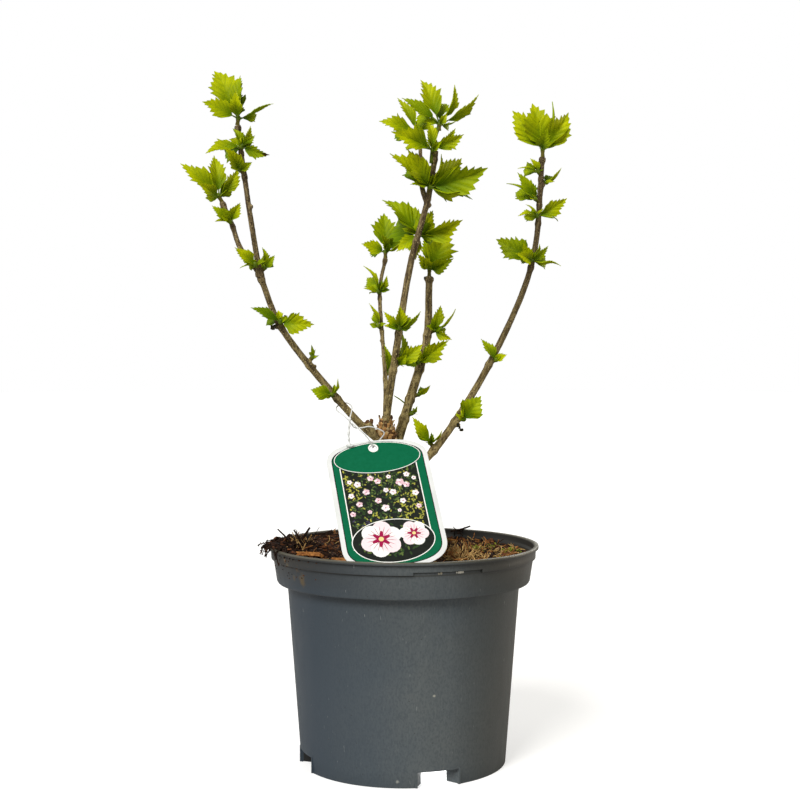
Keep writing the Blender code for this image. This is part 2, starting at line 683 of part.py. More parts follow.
def grow_leaves(rng):
    """Settles each shoot's root and its leaves. A leaf leans until it is clear, or is left out.

    Each leading leaf has a shorter one behind it, or every second one where there are many.
    """
    limbs = limb_samples()
    roots = {}
    grown = {name: [] for name, *_ in SHOOTS}
    taken = {name: np.empty((0, 4)) for name, *_ in SHOOTS}

    def place(name, leaf):
        others = np.concatenate([rows for key, rows in taken.items() if key != name])
        for lean in LEANS:
            tried = (leaf[0], leaf[1], leaf[2] + lean, leaf[3])
            if abs(tried[2]) > MOST_LEAN:
                continue
            samples = leaf_samples(roots[name], tried)
            if is_clear(samples, limbs, LIMB_CLEARANCE) and is_clear(samples, others, LEAF_CLEARANCE):
                grown[name].append(tried)
                rows = np.column_stack((samples, np.zeros(len(samples))))
                taken[name] = np.concatenate((taken[name], rows))
                return

    for name, limb, height, (bearing, lean, length), _ in SHOOTS:
        roots[name] = point_on_limb(limb, height) + heading(bearing, lean) * (length * MM)
    for name, _, _, _, leaves in SHOOTS:
        for leaf in leaves:
            place(name, leaf)
    for name, _, _, _, leaves in SHOOTS:
        for bearing, reach, _, _ in leaves[:: 2 if len(leaves) > 2 else 1]:
            turned = bearing + rng.uniform(-12, 12)
            lean = REAR_LEAN + rng.uniform(-10, 10)
            place(name, (turned, reach * REAR_SHARE, lean, rng.uniform(-35, 35)))
    return roots, grown


def make_spur(name, limb, height, root):
    """The shoot's short stem, from the limb's axis to the bud that its leaves rise from."""
    start = point_on_limb(limb, height)
    reach = root - start
    end = root + reach.normalized() * (BUD_RADIUS * 0.9)
    route = [start, start + reach * 0.55, root, end]
    radii = [SPUR_RADIUS, SPUR_RADIUS, BUD_RADIUS, BUD_RADIUS * 0.5]
    return add_object(name, loft(tube_rings(route, radii, 5)), "leaf")


def leaf_outline(leaf):
    """A leaf in full view gets the most faces."""
    reach, lean = leaf[1], leaf[2]
    if reach < TINY_LEAF_REACH:
        return TINY_LEAF
    return SMALL_LEAF if reach < SMALL_LEAF_REACH or lean < REAR_LEAN + 12 else LARGE_LEAF


def make_shoots():
    rng = random.Random(SEED)
    roots, grown = grow_leaves(rng)
    for name, limb, height, _, _ in SHOOTS:
        spur = make_spur("shoot_" + name, limb, height, roots[name])
        leaves = []
        for leaf in grown[name]:
            sections = leaf_sections(roots[name], leaf, leaf_outline(leaf))
            leaves.append(add_object("leaf", loft(sections), "leaf"))
        near = [key for key in LIMBS if key == limb or key in LIMBS[limb][0] or limb in LIMBS[key][0]]
        join_pieces(spur, leaves, near)


def label_outline():
    """The card's outline in its own plane, from the hole's centre: straight sides between flat arches."""
    half = LABEL_WIDTH / 2
    middle = -LABEL_HOLE_OFFSET
    power = 2 / LABEL_CORNER_POWER
    outline = []
    for base, rise in ((LABEL_SIDE_TOP, LABEL_TOP_RISE), (LABEL_SIDE_FOOT, -LABEL_FOOT_DROP)):
        for k in range(LABEL_ARCH_STEPS + 1):
            turn = k / LABEL_ARCH_STEPS
            a = math.pi * (turn if rise > 0 else 1 - turn)
            across = math.copysign(abs(math.cos(a)) ** power, math.cos(a))
            outline.append((middle + half * across, base + rise * math.sin(a) ** power, 0))
    return outline


def label_place():
    """Where the label's plane stands: its hole's centre, and +X across, +Y up and +Z out of its face."""
    place = Matrix.Translation(LABEL_HOLE_PLACE)
    place @= Matrix.Rotation(math.radians(LABEL_TURN), 4, "Z")
    place @= Matrix.Rotation(math.radians(90 - LABEL_LEAN_BACK), 4, "X")
    return place @ Matrix.Rotation(math.radians(LABEL_TILT), 4, "Z")


def make_label():
    bm = extrude_outline(label_outline(), LABEL_THICKNESS)
    hole = bmesh.new()
    radius = LABEL_HOLE_RADIUS
    bmesh.ops.create_cone(hole, cap_ends=True, segments=14, radius1=radius, radius2=radius, depth=0.01)
    for part in (bm, hole):
        bmesh.ops.transform(part, matrix=label_place(), verts=part.verts)
    label = add_object("label", bm, "label", smooth=False)
    punch = add_object("label_punch", hole, "label")
    add_boolean(label, "DIFFERENCE", punch)
    apply_modifiers(label)
    bpy.data.objects.remove(punch)


def make_tie():
    at_label = [label_place() @ (Vector(point) * MM) / MM for point in TIE_AT_LABEL]
    points = at_label + list(TIE_AT_BOUGH)
    route = smooth_route(points, [2] * len(points), closed=True)
    loop = loft(tube_rings(route, [TIE_RADIUS] * len(route), 5, closed=True), closed=True)
    tie = add_object("tie", loop, "tie")
    bar_route = smooth_route(BAR_ROUTE, [2] * (len(BAR_ROUTE) - 1))
    bar = add_object("tie_bar", loft(tube_rings(bar_route, [BAR_RADIUS] * len(bar_route), 5)), "tie")
    join_pieces(tie, [bar])


def main():
    clear_scene()
    make_pot()
    make_compost()
    make_limbs()
    make_shoots()
    make_label()
    make_tie()
    for name in LIMBS:
        bpy.data.objects.remove(bpy.data.objects[name + "_cutter"])


main()
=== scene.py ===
# %% [markdown]
# # A young rose of sharon in its nursery pot
# The real thing is a shrub some 33 cm tall, with five grey-brown boughs and fresh lime-green
# leaves, in a round grey plastic pot. A printed card hangs on an elastic loop from one bough.
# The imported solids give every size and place. This lesson dresses them: a smooth pot, loose
# compost, bark with relief, toothed leaves, and the card's print.

# %% Load the fixed frame
import math
import random

import bmesh
import bpy
import numpy as np
from mathutils import Matrix, Vector, kdtree, noise


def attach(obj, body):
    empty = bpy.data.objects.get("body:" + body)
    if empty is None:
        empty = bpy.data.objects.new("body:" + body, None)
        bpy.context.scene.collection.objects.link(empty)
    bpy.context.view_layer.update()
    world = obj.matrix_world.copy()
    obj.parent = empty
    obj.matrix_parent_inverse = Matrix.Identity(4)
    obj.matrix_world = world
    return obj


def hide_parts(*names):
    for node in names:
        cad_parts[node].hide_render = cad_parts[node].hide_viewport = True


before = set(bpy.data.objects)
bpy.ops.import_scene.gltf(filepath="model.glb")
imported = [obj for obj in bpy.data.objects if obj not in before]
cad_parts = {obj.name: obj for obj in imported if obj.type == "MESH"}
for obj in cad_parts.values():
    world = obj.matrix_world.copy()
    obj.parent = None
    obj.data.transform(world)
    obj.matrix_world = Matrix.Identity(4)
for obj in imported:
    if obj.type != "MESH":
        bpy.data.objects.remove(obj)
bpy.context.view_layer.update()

MM = 0.001

print("nodes to dress:", len(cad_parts))

# %% [markdown]
# ## Camera
# The photograph was taken from about a metre away, a little above the pot's rim, looking down
# by two degrees. The pot's rim and foot are two ellipses of known size, which fix the lens.

# %% Place the camera
SENSOR_WIDTH = 36
FOCAL_LENGTH_IN_PIXELS = 1463
PHOTO_WIDTH = 800

lens = bpy.data.cameras.new("view_camera")
lens.sensor_width = SENSOR_WIDTH
lens.lens = SENSOR_WIDTH * FOCAL_LENGTH_IN_PIXELS / PHOTO_WIDTH
lens.clip_start = 0.05
camera = bpy.data.objects.new("view_camera", lens)
camera.location = (-0.0024, -1.028, 0.290)
camera.rotation_euler = (math.radians(88), 0, 0)
bpy.context.scene.collection.objects.link(camera)
bpy.context.scene.camera = camera
print("lens", round(lens.lens, 1), "mm")

# %% [markdown]
# ## Studio
# The shrub stands on a white floor, as for a catalogue picture. One broad lamp, high in front
# and a little to the left, models the leaves. A low warm one at the right draws the thin
# bright edge that the pot has there. The floor and the air look white to the camera but throw
# back less light than white card would, so that the greens and browns keep their depth.

# %% Lay the floor
def stand(name, bm):
    """Turns a bmesh into an object at the origin."""
    mesh = bpy.data.meshes.new(name)
    bm.to_mesh(mesh)
    bm.free()
    obj = bpy.data.objects.new(name, mesh)
    bpy.context.scene.collection.objects.link(obj)
    return obj


def show_white(tree, seen, thrown, output):
    """Shows one shader to the camera, while the other throws the light back."""
    chosen = tree.nodes.new("ShaderNodeMixShader")
    rays = tree.nodes.new("ShaderNodeLightPath")
    tree.links.new(rays.outputs["Is Camera Ray"], chosen.inputs[0])
    tree.links.new(thrown.outputs[0], chosen.inputs[1])
    tree.links.new(seen.outputs[0], chosen.inputs[2])
    tree.links.new(chosen.outputs[0], tree.nodes[output].inputs["Surface"])


bm = bmesh.new()
bmesh.ops.create_circle(bm, cap_ends=True, segments=96, radius=9.0)
studio_floor = stand("studio_floor", bm)
white_floor = bpy.data.materials.new("white_floor")
white_floor.use_nodes = True
tree = white_floor.node_tree
seen = tree.nodes["Principled BSDF"]
seen.inputs["Base Color"].default_value = (0.58, 0.58, 0.58, 1)
seen.inputs["Roughness"].default_value = 0.95
seen.inputs["Emission Color"].default_value = (1, 1, 1, 1)
seen.inputs["Emission Strength"].default_value = 0.50
thrown = tree.nodes.new("ShaderNodeBsdfDiffuse")
thrown.inputs["Color"].default_value = (0.42, 0.42, 0.42, 1)
show_white(tree, seen, thrown, "Material Output")
studio_floor.data.materials.append(white_floor)
print("floor:", len(studio_floor.data.polygons), "face")

# %% Hang the lamps
def hang(name, kind, place, power, color, size):
    """Hangs a lamp that looks at the boughs. A sun's size is an angle, and an area's is a width."""
    light = bpy.data.lights.new(name, kind)
    light.energy = power
    light.color = color
    setattr(light, "angle" if kind == "SUN" else "size", size)
    lamp = bpy.data.objects.new(name, light)
    lamp.location = place
    aim = Vector((0, 0, 0.22)) - Vector(place)
    lamp.rotation_euler = aim.to_track_quat("-Z", "Y").to_euler()
    bpy.context.scene.collection.objects.link(lamp)
    return lamp


hang("key_light", "SUN", (-0.62, -1.15, 1.25), 3.2, (1.0, 0.99, 0.96), math.radians(26))
hang("right_light", "AREA", (1.3, 0.45, 0.35), 7, (1.0, 0.90, 0.74), 0.5)
hang("left_light", "AREA", (-1.5, 0.1, 0.5), 2.5, (0.92, 0.96, 1.0), 0.9)
hang("back_light", "SUN", (0.55, 1.30, 0.80), 0.9, (1.0, 0.98, 0.92), math.radians(30))
underside = hang("underside_light", "AREA", (0.030, -0.046, 0.0105), 0.02, (1, 1, 1), 0.02)
underside.rotation_euler = (0, 0, 0)

world = bpy.data.worlds.new("studio_world")
world.use_nodes = True
tree = world.node_tree
air = tree.nodes["Background"]
air.inputs["Color"].default_value = (1.0, 0.985, 0.93, 1)
air.inputs["Strength"].default_value = 0.40
backdrop = tree.nodes.new("ShaderNodeBackground")
backdrop.inputs["Color"].default_value = (1, 1, 1, 1)
show_white(tree, backdrop, air, "World Output")
bpy.context.scene.world = world
bpy.context.scene.view_settings.view_transform = "Standard"

# %% [markdown]
# ## Finishes
# Plastic, bark, leaf and compost all share three effects: patches of another tone, small
# specks, and a fine grain in the surface. Each is a node group, built once here and placed
# in each material with its own values. The groups read Object coordinates in metres.

# %% Helpers that add shader nodes
def add_node(tree, kind, inputs=(), **settings):
    """Adds a node, sets its inputs to plain values or links sockets to them."""
    made = tree.nodes.new(kind)
    for key, value in settings.items():
        setattr(made, key, value)
    for key, value in dict(inputs).items():
        if isinstance(value, bpy.types.NodeSocket):
            tree.links.new(value, made.inputs[key])
        else:
            made.inputs[key].default_value = value
    return made


def calc(tree, operation, *values, clamp=False):
    """One step of arithmetic on sockets and numbers."""
    return add_node(tree, "ShaderNodeMath", enumerate(values), operation=operation, use_clamp=clamp).outputs[0]


def times(tree, mask, *factors):
    """Multiplies a mask by other masks and numbers."""
    for factor in factors:
        mask = calc(tree, "MULTIPLY", mask, factor)
    return mask


def calc_vector(tree, operation, *values):
    """One step of arithmetic on places. A length, a distance or a dot product comes out as a number."""
    made = add_node(tree, "ShaderNodeVectorMath", enumerate(values), operation=operation)
    return made.outputs["Vector" if operation == "MULTIPLY" else "Value"]


def ramp(tree, value, start, end, low=0.0, high=1.0):
    """Goes evenly from low to high while a value goes from start to end."""
    inputs = {"Value": value, "From Min": start, "From Max": end, "To Min": low, "To Max": high}
    return add_node(tree, "ShaderNodeMapRange", inputs).outputs["Result"]


def object_place(tree):
    """A point's own place on the object, in metres."""
    return add_node(tree, "ShaderNodeTexCoord").outputs["Object"]


def mark(tree, name):
    """A number that the piece's own mesh carries at each point."""
    return add_node(tree, "ShaderNodeAttribute", attribute_name=name).outputs["Fac"]


print("helpers: add_node, calc, times, calc_vector, ramp, object_place, mark")

# %% Helpers for colours, given as a screen shows them
def srgb(red, green, blue):
    """Turns a screen colour of 0 to 255 into the linear colour that a shader takes."""
    values = []
    for channel in (red, green, blue):
        share = channel / 255
        values.append(share / 12.92 if share <= 0.04045 else ((share + 0.055) / 1.055) ** 2.4)
    return (*values, 1)


def mix_colors(tree, mask, low, high):
    """Mixes two colours by a mask. A colour is a socket or three screen values."""
    low, high = (srgb(*color) if isinstance(color, tuple) else color for color in (low, high))
    return add_node(tree, "ShaderNodeMix", {0: mask, 6: low, 7: high}, data_type="RGBA").outputs[2]


def lay(tree, tone, *layers):
    """Lays colours over a tone, one after the other, each where its mask is 1."""
    for mask, color in layers:
        tone = mix_colors(tree, mask, tone, color)
    return tone


print("mid grey is", round(srgb(128, 128, 128)[0], 3), "as a linear colour")

# %% What the three effects share
def open_group(name, inputs, output, output_type):
    """Starts a node group with number inputs and one output, and returns its ends."""
    tree = bpy.data.node_groups.new(name, "ShaderNodeTree")
    for label, value in inputs:
        socket = tree.interface.new_socket(label, in_out="INPUT", socket_type="NodeSocketFloat")
        socket.default_value = value
    tree.interface.new_socket(output, in_out="OUTPUT", socket_type=output_type)
    start = tree.nodes.new("NodeGroupInput")
    end = tree.nodes.new("NodeGroupOutput")
    return tree, start.outputs, end.inputs


def drawn_out_noise(tree, start, detail):
    """Noise that the group's Stretch input draws out along the height."""
    squeeze = add_node(tree, "ShaderNodeCombineXYZ", {0: 1.0, 1: 1.0, 2: start["Stretch"]}).outputs[0]
    pulled = calc_vector(tree, "MULTIPLY", object_place(tree), squeeze)
    inputs = {"Vector": pulled, "Scale": start["Scale"], "Detail": detail}
    return add_node(tree, "ShaderNodeTexNoise", inputs).outputs["Fac"]


print("helpers: open_group, drawn_out_noise")

# %% Patches, specks and grain
patches, start, end = open_group(
    "patches", (("Scale", 20), ("Stretch", 1), ("Low", 0.4), ("High", 0.6)), "Mask", "NodeSocketFloat"
)
cloud = drawn_out_noise(patches, start, 4)
patches.links.new(ramp(patches, cloud, start["Low"], start["High"]), end["Mask"])

specks, start, end = open_group("specks", (("Scale", 600), ("Size", 0.2)), "Mask", "NodeSocketFloat")
cells = add_node(specks, "ShaderNodeTexVoronoi", {"Vector": object_place(specks), "Scale": start["Scale"]}).outputs
chance = add_node(specks, "ShaderNodeSeparateColor", {"Color": cells["Color"]}).outputs[0]
edge = calc(specks, "SUBTRACT", calc(specks, "MULTIPLY", chance, start["Size"]), cells["Distance"])
specks.links.new(calc(specks, "MULTIPLY", edge, 12.0, clamp=True), end["Mask"])

grain, start, end = open_group(
    "grain", (("Scale", 900), ("Stretch", 1), ("Depth", 0.0001)), "Normal", "NodeSocketVector"
)
ripple = drawn_out_noise(grain, start, 3)
bump = add_node(grain, "ShaderNodeBump", {"Height": ripple, "Distance": start["Depth"]})
grain.links.new(bump.outputs["Normal"], end["Normal"])
print("effects:", patches.name, specks.name, grain.name)

# %% Open and close a material
def effect(tree, group, **values):
    """Places one of the effects in a material with its own values."""
    made = tree.nodes.new("ShaderNodeGroup")
    made.node_tree = group
    for key, value in values.items():
        made.inputs[key].default_value = value
    return made.outputs[0]


def open_finish(name, **constants):
    """Starts a material and returns it with its tree and its shader, whose plain values are set."""
    made = bpy.data.materials.new(name)
    made.use_nodes = True
    shader = made.node_tree.nodes["Principled BSDF"]
    for key, value in constants.items():
        shader.inputs[key.replace("_", " ")].default_value = value
    return made, made.node_tree, shader


def close_finish(tree, shader, tone, **relief):
    """Gives the shader its colour, and a fine grain where one is asked for."""
    tree.links.new(tone, shader.inputs["Base Color"])
    if relief:
        tree.links.new(effect(tree, grain, **relief), shader.inputs["Normal"])


def two_tone(name, low, high, scale, spread=(0.35, 0.65), relief=(), **constants):
    """A whole material whose colour wanders between two tones."""
    made, tree, shader = open_finish(name, **constants)
    wander = effect(tree, patches, Scale=scale, Low=spread[0], High=spread[1])
    close_finish(tree, shader, mix_colors(tree, wander, low, high), **dict(relief))
    return made


print("helpers: effect, open_finish, close_finish, two_tone")

# %% [markdown]
# ## Pieces
# Every finished piece is a mesh at the origin that rides on the one body of this part. One
# helper turns a bmesh into such a piece. Another joins hundreds of small things that are
# worked out as arrays, because that is far quicker than one bmesh call for each.

# %% Make pieces
def dress(mesh, name, finishes, replaces, angle):
    for finish in finishes:
        mesh.materials.append(finish)
    mesh.shade_smooth()
    mesh.set_sharp_from_angle(angle=math.radians(angle))
    piece = bpy.data.objects.new(name, mesh)
    bpy.context.scene.collection.objects.link(piece)
    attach(piece, "root")
    if replaces:
        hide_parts(*replaces)
    mesh.calc_loop_triangles()
    print(name, len(mesh.loop_triangles), "triangles")


def add_piece(name, bm, finishes, replaces=(), *, angle):
    """Makes a piece of a bmesh, with its finishes in the order of its material slots."""
    mesh = bpy.data.meshes.new(name)
    bm.to_mesh(mesh)
    bm.free()
    dress(mesh, name, finishes, replaces, angle)


def add_heap(name, copies, finishes, replaces=(), *, angle, marks=()):
    """Joins many closed shapes into one piece. A copy is (points, faces, finish number, marks)."""
    points = np.concatenate([copy[0] for copy in copies])
    starts = np.cumsum([0] + [len(copy[0]) for copy in copies])
    faces = []
    numbers = []
    for (_, shape_faces, number, *_), first in zip(copies, starts):
        faces += [tuple(int(first) + corner for corner in face) for face in shape_faces]
        numbers += number if isinstance(number, list) else [number] * len(shape_faces)
    mesh = bpy.data.meshes.new(name)
    mesh.from_pydata(points.tolist(), [], faces)
    mesh.polygons.foreach_set("material_index", numbers)
    for label in marks:
        values = np.concatenate([copy[3][label] for copy in copies])
        mesh.attributes.new(label, "FLOAT", "POINT").data.foreach_set("value", values.astype(np.float32))
    mesh.update()
    dress(mesh, name, finishes, replaces, angle)


def read_shape(bm):
    """Takes a small bmesh as arrays, to be copied many times."""
    bm.verts.index_update()
    points = np.array([vert.co[:] for vert in bm.verts])
    faces = [tuple(vert.index for vert in face.verts) for face in bm.faces]
    bm.free()
    return points, faces


print("helpers: dress, add_piece, add_heap, read_shape")

# %% [markdown]
# ## The pot
# The real pot is moulded in thin grey plastic: a straight tapering wall, a collar of two
# bands, and a flat lip. Its foot ring has four notches that let water out. A turned shape is
# made by spinning its section. The notches and the lifted step of the collar are cut with
# Booleans, as a mould's inserts would leave them.

# %% Spin the pot's section
POT_SECTION = (
    (0, 0), (22, 0), (23.3, 11), (70.8, 11), (70.8, 0), (72.1, 0), (72.96, 11.5), (73.10, 13.4), (76.90, 64.1),
    (81.6, 126.9), (88.2, 127.3), (89.0, 128.7), (90.75, 140.1), (90.90, 141.1), (91.3, 143.7), (92.9, 144.1),
    (92.97, 146.6), (93.00, 147.4), (93.1, 150.6), (95.0, 150.8), (95.0, 152.8), (92.2, 152.8), (91.6, 152.0),
    (91.6, 148.4), (90.0, 147.1), (87.7, 128.6), (80.3, 127.3), (71.7, 12.5), (0, 12.5),
)
POT_STEPS = 192
EDGE_ROUNDING = 0.28
SHARP_EDGE = math.radians(38)


def spin_once(line, steps):
    """Turns a line of (radius, height) in mm once round the upright axis."""
    bm = bmesh.new()
    verts = [bm.verts.new((radius * MM, 0, height * MM)) for radius, height in line]
    edges = [bm.edges.new(pair) for pair in zip(verts, verts[1:])]
    bmesh.ops.spin(
        bm, geom=verts + edges, cent=(0, 0, 0), axis=(0, 0, 1), angle=2 * math.pi, steps=steps, use_merge=True
    )
    bmesh.ops.remove_doubles(bm, verts=bm.verts, dist=1e-6)
    return bm


bm = spin_once(POT_SECTION, POT_STEPS)
bmesh.ops.recalc_face_normals(bm, faces=bm.faces)
creases = [edge for edge in bm.edges if edge.is_manifold and edge.calc_face_angle() > SHARP_EDGE]
bmesh.ops.bevel(
    bm, geom=creases, affect="EDGES", offset=EDGE_ROUNDING * MM, offset_type="OFFSET", segments=2, profile=0.5,
    material=-1,
)
pot_blank = stand("pot_blank", bm)
print("pot shell:", len(pot_blank.data.polygons), "faces")

# %% Shape the notches, their side walls and the lifted step
NOTCH_TURN = 18.75
NOTCH_HALF = 14.5
THROAT_HALF = 8.7
FLANK = 1.3


def raise_block(bm, outline, low, high):
    """Raises a flat outline in mm into a block, and returns its lower face and upper points."""
    face = bm.faces.new([bm.verts.new((x * MM, y * MM, low * MM)) for x, y in outline])
    raised = bmesh.ops.extrude_face_region(bm, geom=[face])["geom"]
    upper = [item for item in raised if isinstance(item, bmesh.types.BMVert)]
    bmesh.ops.translate(bm, verts=upper, vec=(0, 0, (high - low) * MM))
    return face, upper


def prism(outline, low, high, turn):
    """A block made at the front and turned round the pot's axis."""
    bm = bmesh.new()
    raise_block(bm, outline, low, high)
    bmesh.ops.recalc_face_normals(bm, faces=bm.faces)
    bmesh.ops.rotate(bm, verts=bm.verts, cent=(0, 0, 0), matrix=Matrix.Rotation(math.radians(turn), 3, "Z"))
    return stand("block", bm)


def notch_plan(margin, throat):
    """Half of a notch, from beyond the wall inwards, where it narrows."""
    return (NOTCH_HALF + margin, -81.6), (NOTCH_HALF + margin, -69.5), (THROAT_HALF + margin, throat)


walls = []
cutters = []
for quarter in range(4):
    turn = NOTCH_TURN + 90 * quarter
    for side in (-1, 1):
        _, near, far = notch_plan(-0.3, -62.2)
        _, near_back, far_back = notch_plan(FLANK, -62.2)
        plan = ((near[0], -71.6), near, far, far_back, near_back, (near_back[0], -71.6))
        walls.append(prism([(x * side, y) for x, y in plan], 0.3, 11.7, turn))
    plan = notch_plan(0, -61.8)
    cutters.append(prism([*plan, *((-x, y) for x, y in reversed(plan))], -2, 10.7, turn))
for turn in (NOTCH_TURN, NOTCH_TURN + 180):
    spread = [math.radians(step) for step in np.linspace(-15, 15, 25)]
    plan = [(97 * math.sin(a), -97 * math.cos(a)) for a in spread]
    plan += [(91.3 * math.sin(a), -91.3 * math.cos(a)) for a in reversed(spread)]
    cutters.append(prism(plan, 141.7, 146.2, turn))
print("side walls:", len(walls), "cutters:", len(cutters))

# %% Join and cut, and keep the result as the pot's mesh
def combine(blank, operation, tools):
    """Adds a Boolean for each tool to the blank."""
    for tool in tools:
        step = blank.modifiers.new(operation.lower(), "BOOLEAN")
        step.operation = operation
        step.object = tool


def take_mesh(blank, *used):
    """The mesh that the blank's modifiers make. The blank and the used tools are cleared away."""
    graph = bpy.context.evaluated_depsgraph_get()
    mesh = bpy.data.meshes.new_from_object(blank.evaluated_get(graph))
    for obj in (blank, *used):
        bpy.data.objects.remove(obj)
    return mesh


combine(pot_blank, "UNION", walls)
combine(pot_blank, "DIFFERENCE", cutters)
pot_mesh = take_mesh(pot_blank, *walls, *cutters)
print("pot:", len(pot_mesh.polygons), "faces")

# %% [markdown]
# The plastic is matt and slate grey, darker and browner up the collar and towards its sides.
# Fine upright scratches catch the light, and a painted highlight runs along the lip's top. Painted
# shade darkens the pot's left and right sides, its creases and ledges, the inside of its wall, the
# top of the collar's recess and the inside of the left notch. A soil stain sits on the collar's
# left, and pale scuffs lie on its step. It could be painted as an image. Here each mark is a mask
# that mixes two colours, so it stays sharp from near, and one table lays them over each other in
# order.

# %% Where on the pot a point lies
pot_plastic, tree, shader = open_finish("pot_plastic", Specular_IOR_Level=0.4)
here = object_place(tree)
axes = add_node(tree, "ShaderNodeSeparateXYZ", {0: here}).outputs
across, height = axes["X"], axes["Z"]
sideways = calc(tree, "ABSOLUTE", across)
around = calc_vector(tree, "LENGTH", calc_vector(tree, "MULTIPLY", here, (1, 1, 0)))
faces_out = calc_vector(tree, "DOT_PRODUCT", add_node(tree, "ShaderNodeNewGeometry").outputs["Normal"], here)
print("pot masks read:", [socket.name for socket in (across, height, around, faces_out)])

# %% Tones of the plastic, and painted shade in its creases, ledges, recess, notch and inner wall
# Heights of the pot's creases, each darkened in a narrow band of painted shade
CREASES = (0.1438, 0.1270, 0.1506)
CREASE_REACH = 0.0008

mottle = effect(tree, patches, Scale=800, Stretch=0.6, Low=0.45, High=0.62)
# darker and browner up the collar and towards the pot's sides
browned = times(tree, ramp(tree, height, 0.1274, 0.1480), ramp(tree, sideways, 0.015, 0.085, low=0.15))
from_crease = [calc(tree, "ABSOLUTE", calc(tree, "ADD", height, -middle)) for middle in CREASES]
crust = times(
    tree, effect(tree, patches, Scale=420, Low=0.60, High=0.68), ramp(tree, across, -0.045, -0.085),
    ramp(tree, height, 0.128, 0.140),
)
# painted shade on the ledges below the lip
ledge = times(tree, ramp(tree, faces_out, 0.105, 0.120), ramp(tree, height, 0.1514, 0.1505))
# painted shade at the top of the collar's recess, under the band above it
recess = times(tree, ramp(tree, around, 0.0922, 0.0916), ramp(tree, height, 0.1453, 0.1457))
# painted shade inside the left notch
hollow = times(
    tree, ramp(tree, around, 0.0712, 0.0704), ramp(tree, across, -0.045, -0.055), ramp(tree, height, 0.020, 0.014)
)
slate = mix_colors(tree, effect(tree, patches, Scale=14, Low=0.35, High=0.65), (76, 84, 89), (86, 91, 92))
slate = lay(
    tree, slate,
    (effect(tree, patches, Scale=900, Stretch=0.15, Low=0.50, High=1.10), (96, 102, 102)),
    (times(tree, mottle, 0.42), (60, 67, 73)),
    # painted shade: the pot's left side darker and bluer
    (ramp(tree, across, 0.01, -0.06, high=0.95), (48, 58, 68)),
    # painted shade: the pot's right side darker
    (ramp(tree, across, 0.030, 0.080), (37, 38, 32)),
    # darker and browner up the collar and towards its sides
    (browned, (38, 33, 24)),
    # painted highlight along the lip's top edge
    (ramp(tree, height, 0.1516, 0.1525), (80, 77, 65)),
    # painted shade in the creases
    *((ramp(tree, away, CREASE_REACH, 0.0), (52, 52, 49)) for away in from_crease),
    (effect(tree, patches, Scale=1000, Stretch=0.11, Low=0.715, High=0.77), (134, 138, 136)),
    (effect(tree, specks, Scale=260, Size=0.12), (46, 42, 38)),
    (crust, (64, 50, 38)),
    # painted shade on the inside of the wall, where its normal faces the axis
    (ramp(tree, faces_out, -0.02, -0.06), (22, 20, 16)),
    # painted shade on the ledges below the lip
    (ledge, (26, 23, 18)),
    # painted shade at the top of the collar's recess
    (recess, (34, 33, 30)),
    # painted shade inside the left notch
    (hollow, (16, 16, 16)),
)
print("creases with painted shade:", len(CREASES))

# %% Stains and scuffs: where, how wide, how soft, and their colour
STAINS = (
    ((-0.0682, -0.0600, 0.1378), 0.0042, 1.3, (88, 72, 48)), ((-0.0678, -0.0604, 0.1345), 0.0036, 1.2, (84, 70, 46)),
    ((-0.0800, -0.0470, 0.1480), 0.0022, 1.0, (96, 84, 62)), ((-0.0780, -0.0506, 0.1445), 0.0022, 1.0, (88, 76, 54)),
    ((-0.0757, -0.0520, 0.1407), 0.0018, 1.0, (34, 30, 26)), ((-0.0737, -0.0530, 0.1366), 0.0024, 0.9, (80, 68, 50)),
    ((-0.0710, -0.0570, 0.1428), 0.0018, 1.0, (76, 64, 48)), ((-0.0770, -0.0480, 0.1380), 0.0014, 1.0, (30, 26, 22)),
    ((0.0243, -0.0882, 0.1452), 0.0010, 0.5, (176, 166, 140)),
    ((0.0227, -0.0886, 0.1449), 0.0008, 0.5, (170, 160, 136)),
    ((0.0345, -0.0846, 0.1451), 0.0008, 0.4, (216, 210, 194)),
    ((0.0358, -0.0841, 0.1452), 0.0009, 0.4, (220, 214, 198)),
    ((0.0371, -0.0835, 0.1452), 0.0009, 0.4, (220, 214, 198)),
    ((0.0384, -0.0829, 0.1452), 0.0008, 0.4, (216, 210, 194)),
    ((-0.0044, -0.0724, 0.0045), 0.0016, 0.9, (150, 152, 146)),
    ((0.0200, -0.0740, 0.0620), 0.0011, 0.5, (150, 150, 140)),
)
wobble = add_node(tree, "ShaderNodeTexNoise", {"Vector": here, "Scale": 260}).outputs["Fac"]
for place, radius, softness, color in STAINS:
    away = calc(tree, "ADD", calc_vector(tree, "DISTANCE", here, place), calc(tree, "MULTIPLY", wobble, radius * 1.6))
    slate = lay(tree, slate, (ramp(tree, away, radius * 1.8, radius * (1.8 - softness)), color))
rubbed = effect(tree, patches, Scale=60, Stretch=0.3, Low=0.3, High=0.7)
tree.links.new(ramp(tree, rubbed, 0.0, 1.0, 0.40, 0.54), shader.inputs["Roughness"])
close_finish(tree, shader, slate, Scale=1500, Stretch=0.35, Depth=0.00006)
pot_mesh.materials.clear()
dress(pot_mesh, "nursery_pot", [pot_plastic], ("pot",), 32)

# %% [markdown]
# ## The compost
# Bark compost is a heap of chips, fibres and crumbs on a lumpy bed. The bed is a disc whose
# points are pushed up by noise. It has the same bank, mound and label's hollow as the solid.
# The chips and fibres that the eye picks out are separate small shapes, strewn over it.

# %% The height of the bed
BED_RADIUS = 89.7
BED_LEVEL = 145.5
BED_FOOT_RADIUS = 87.2
BED_FOOT_LEVEL = 129
SEAT_LEVEL = 146.0
SEAT_RADIUS = 13.5


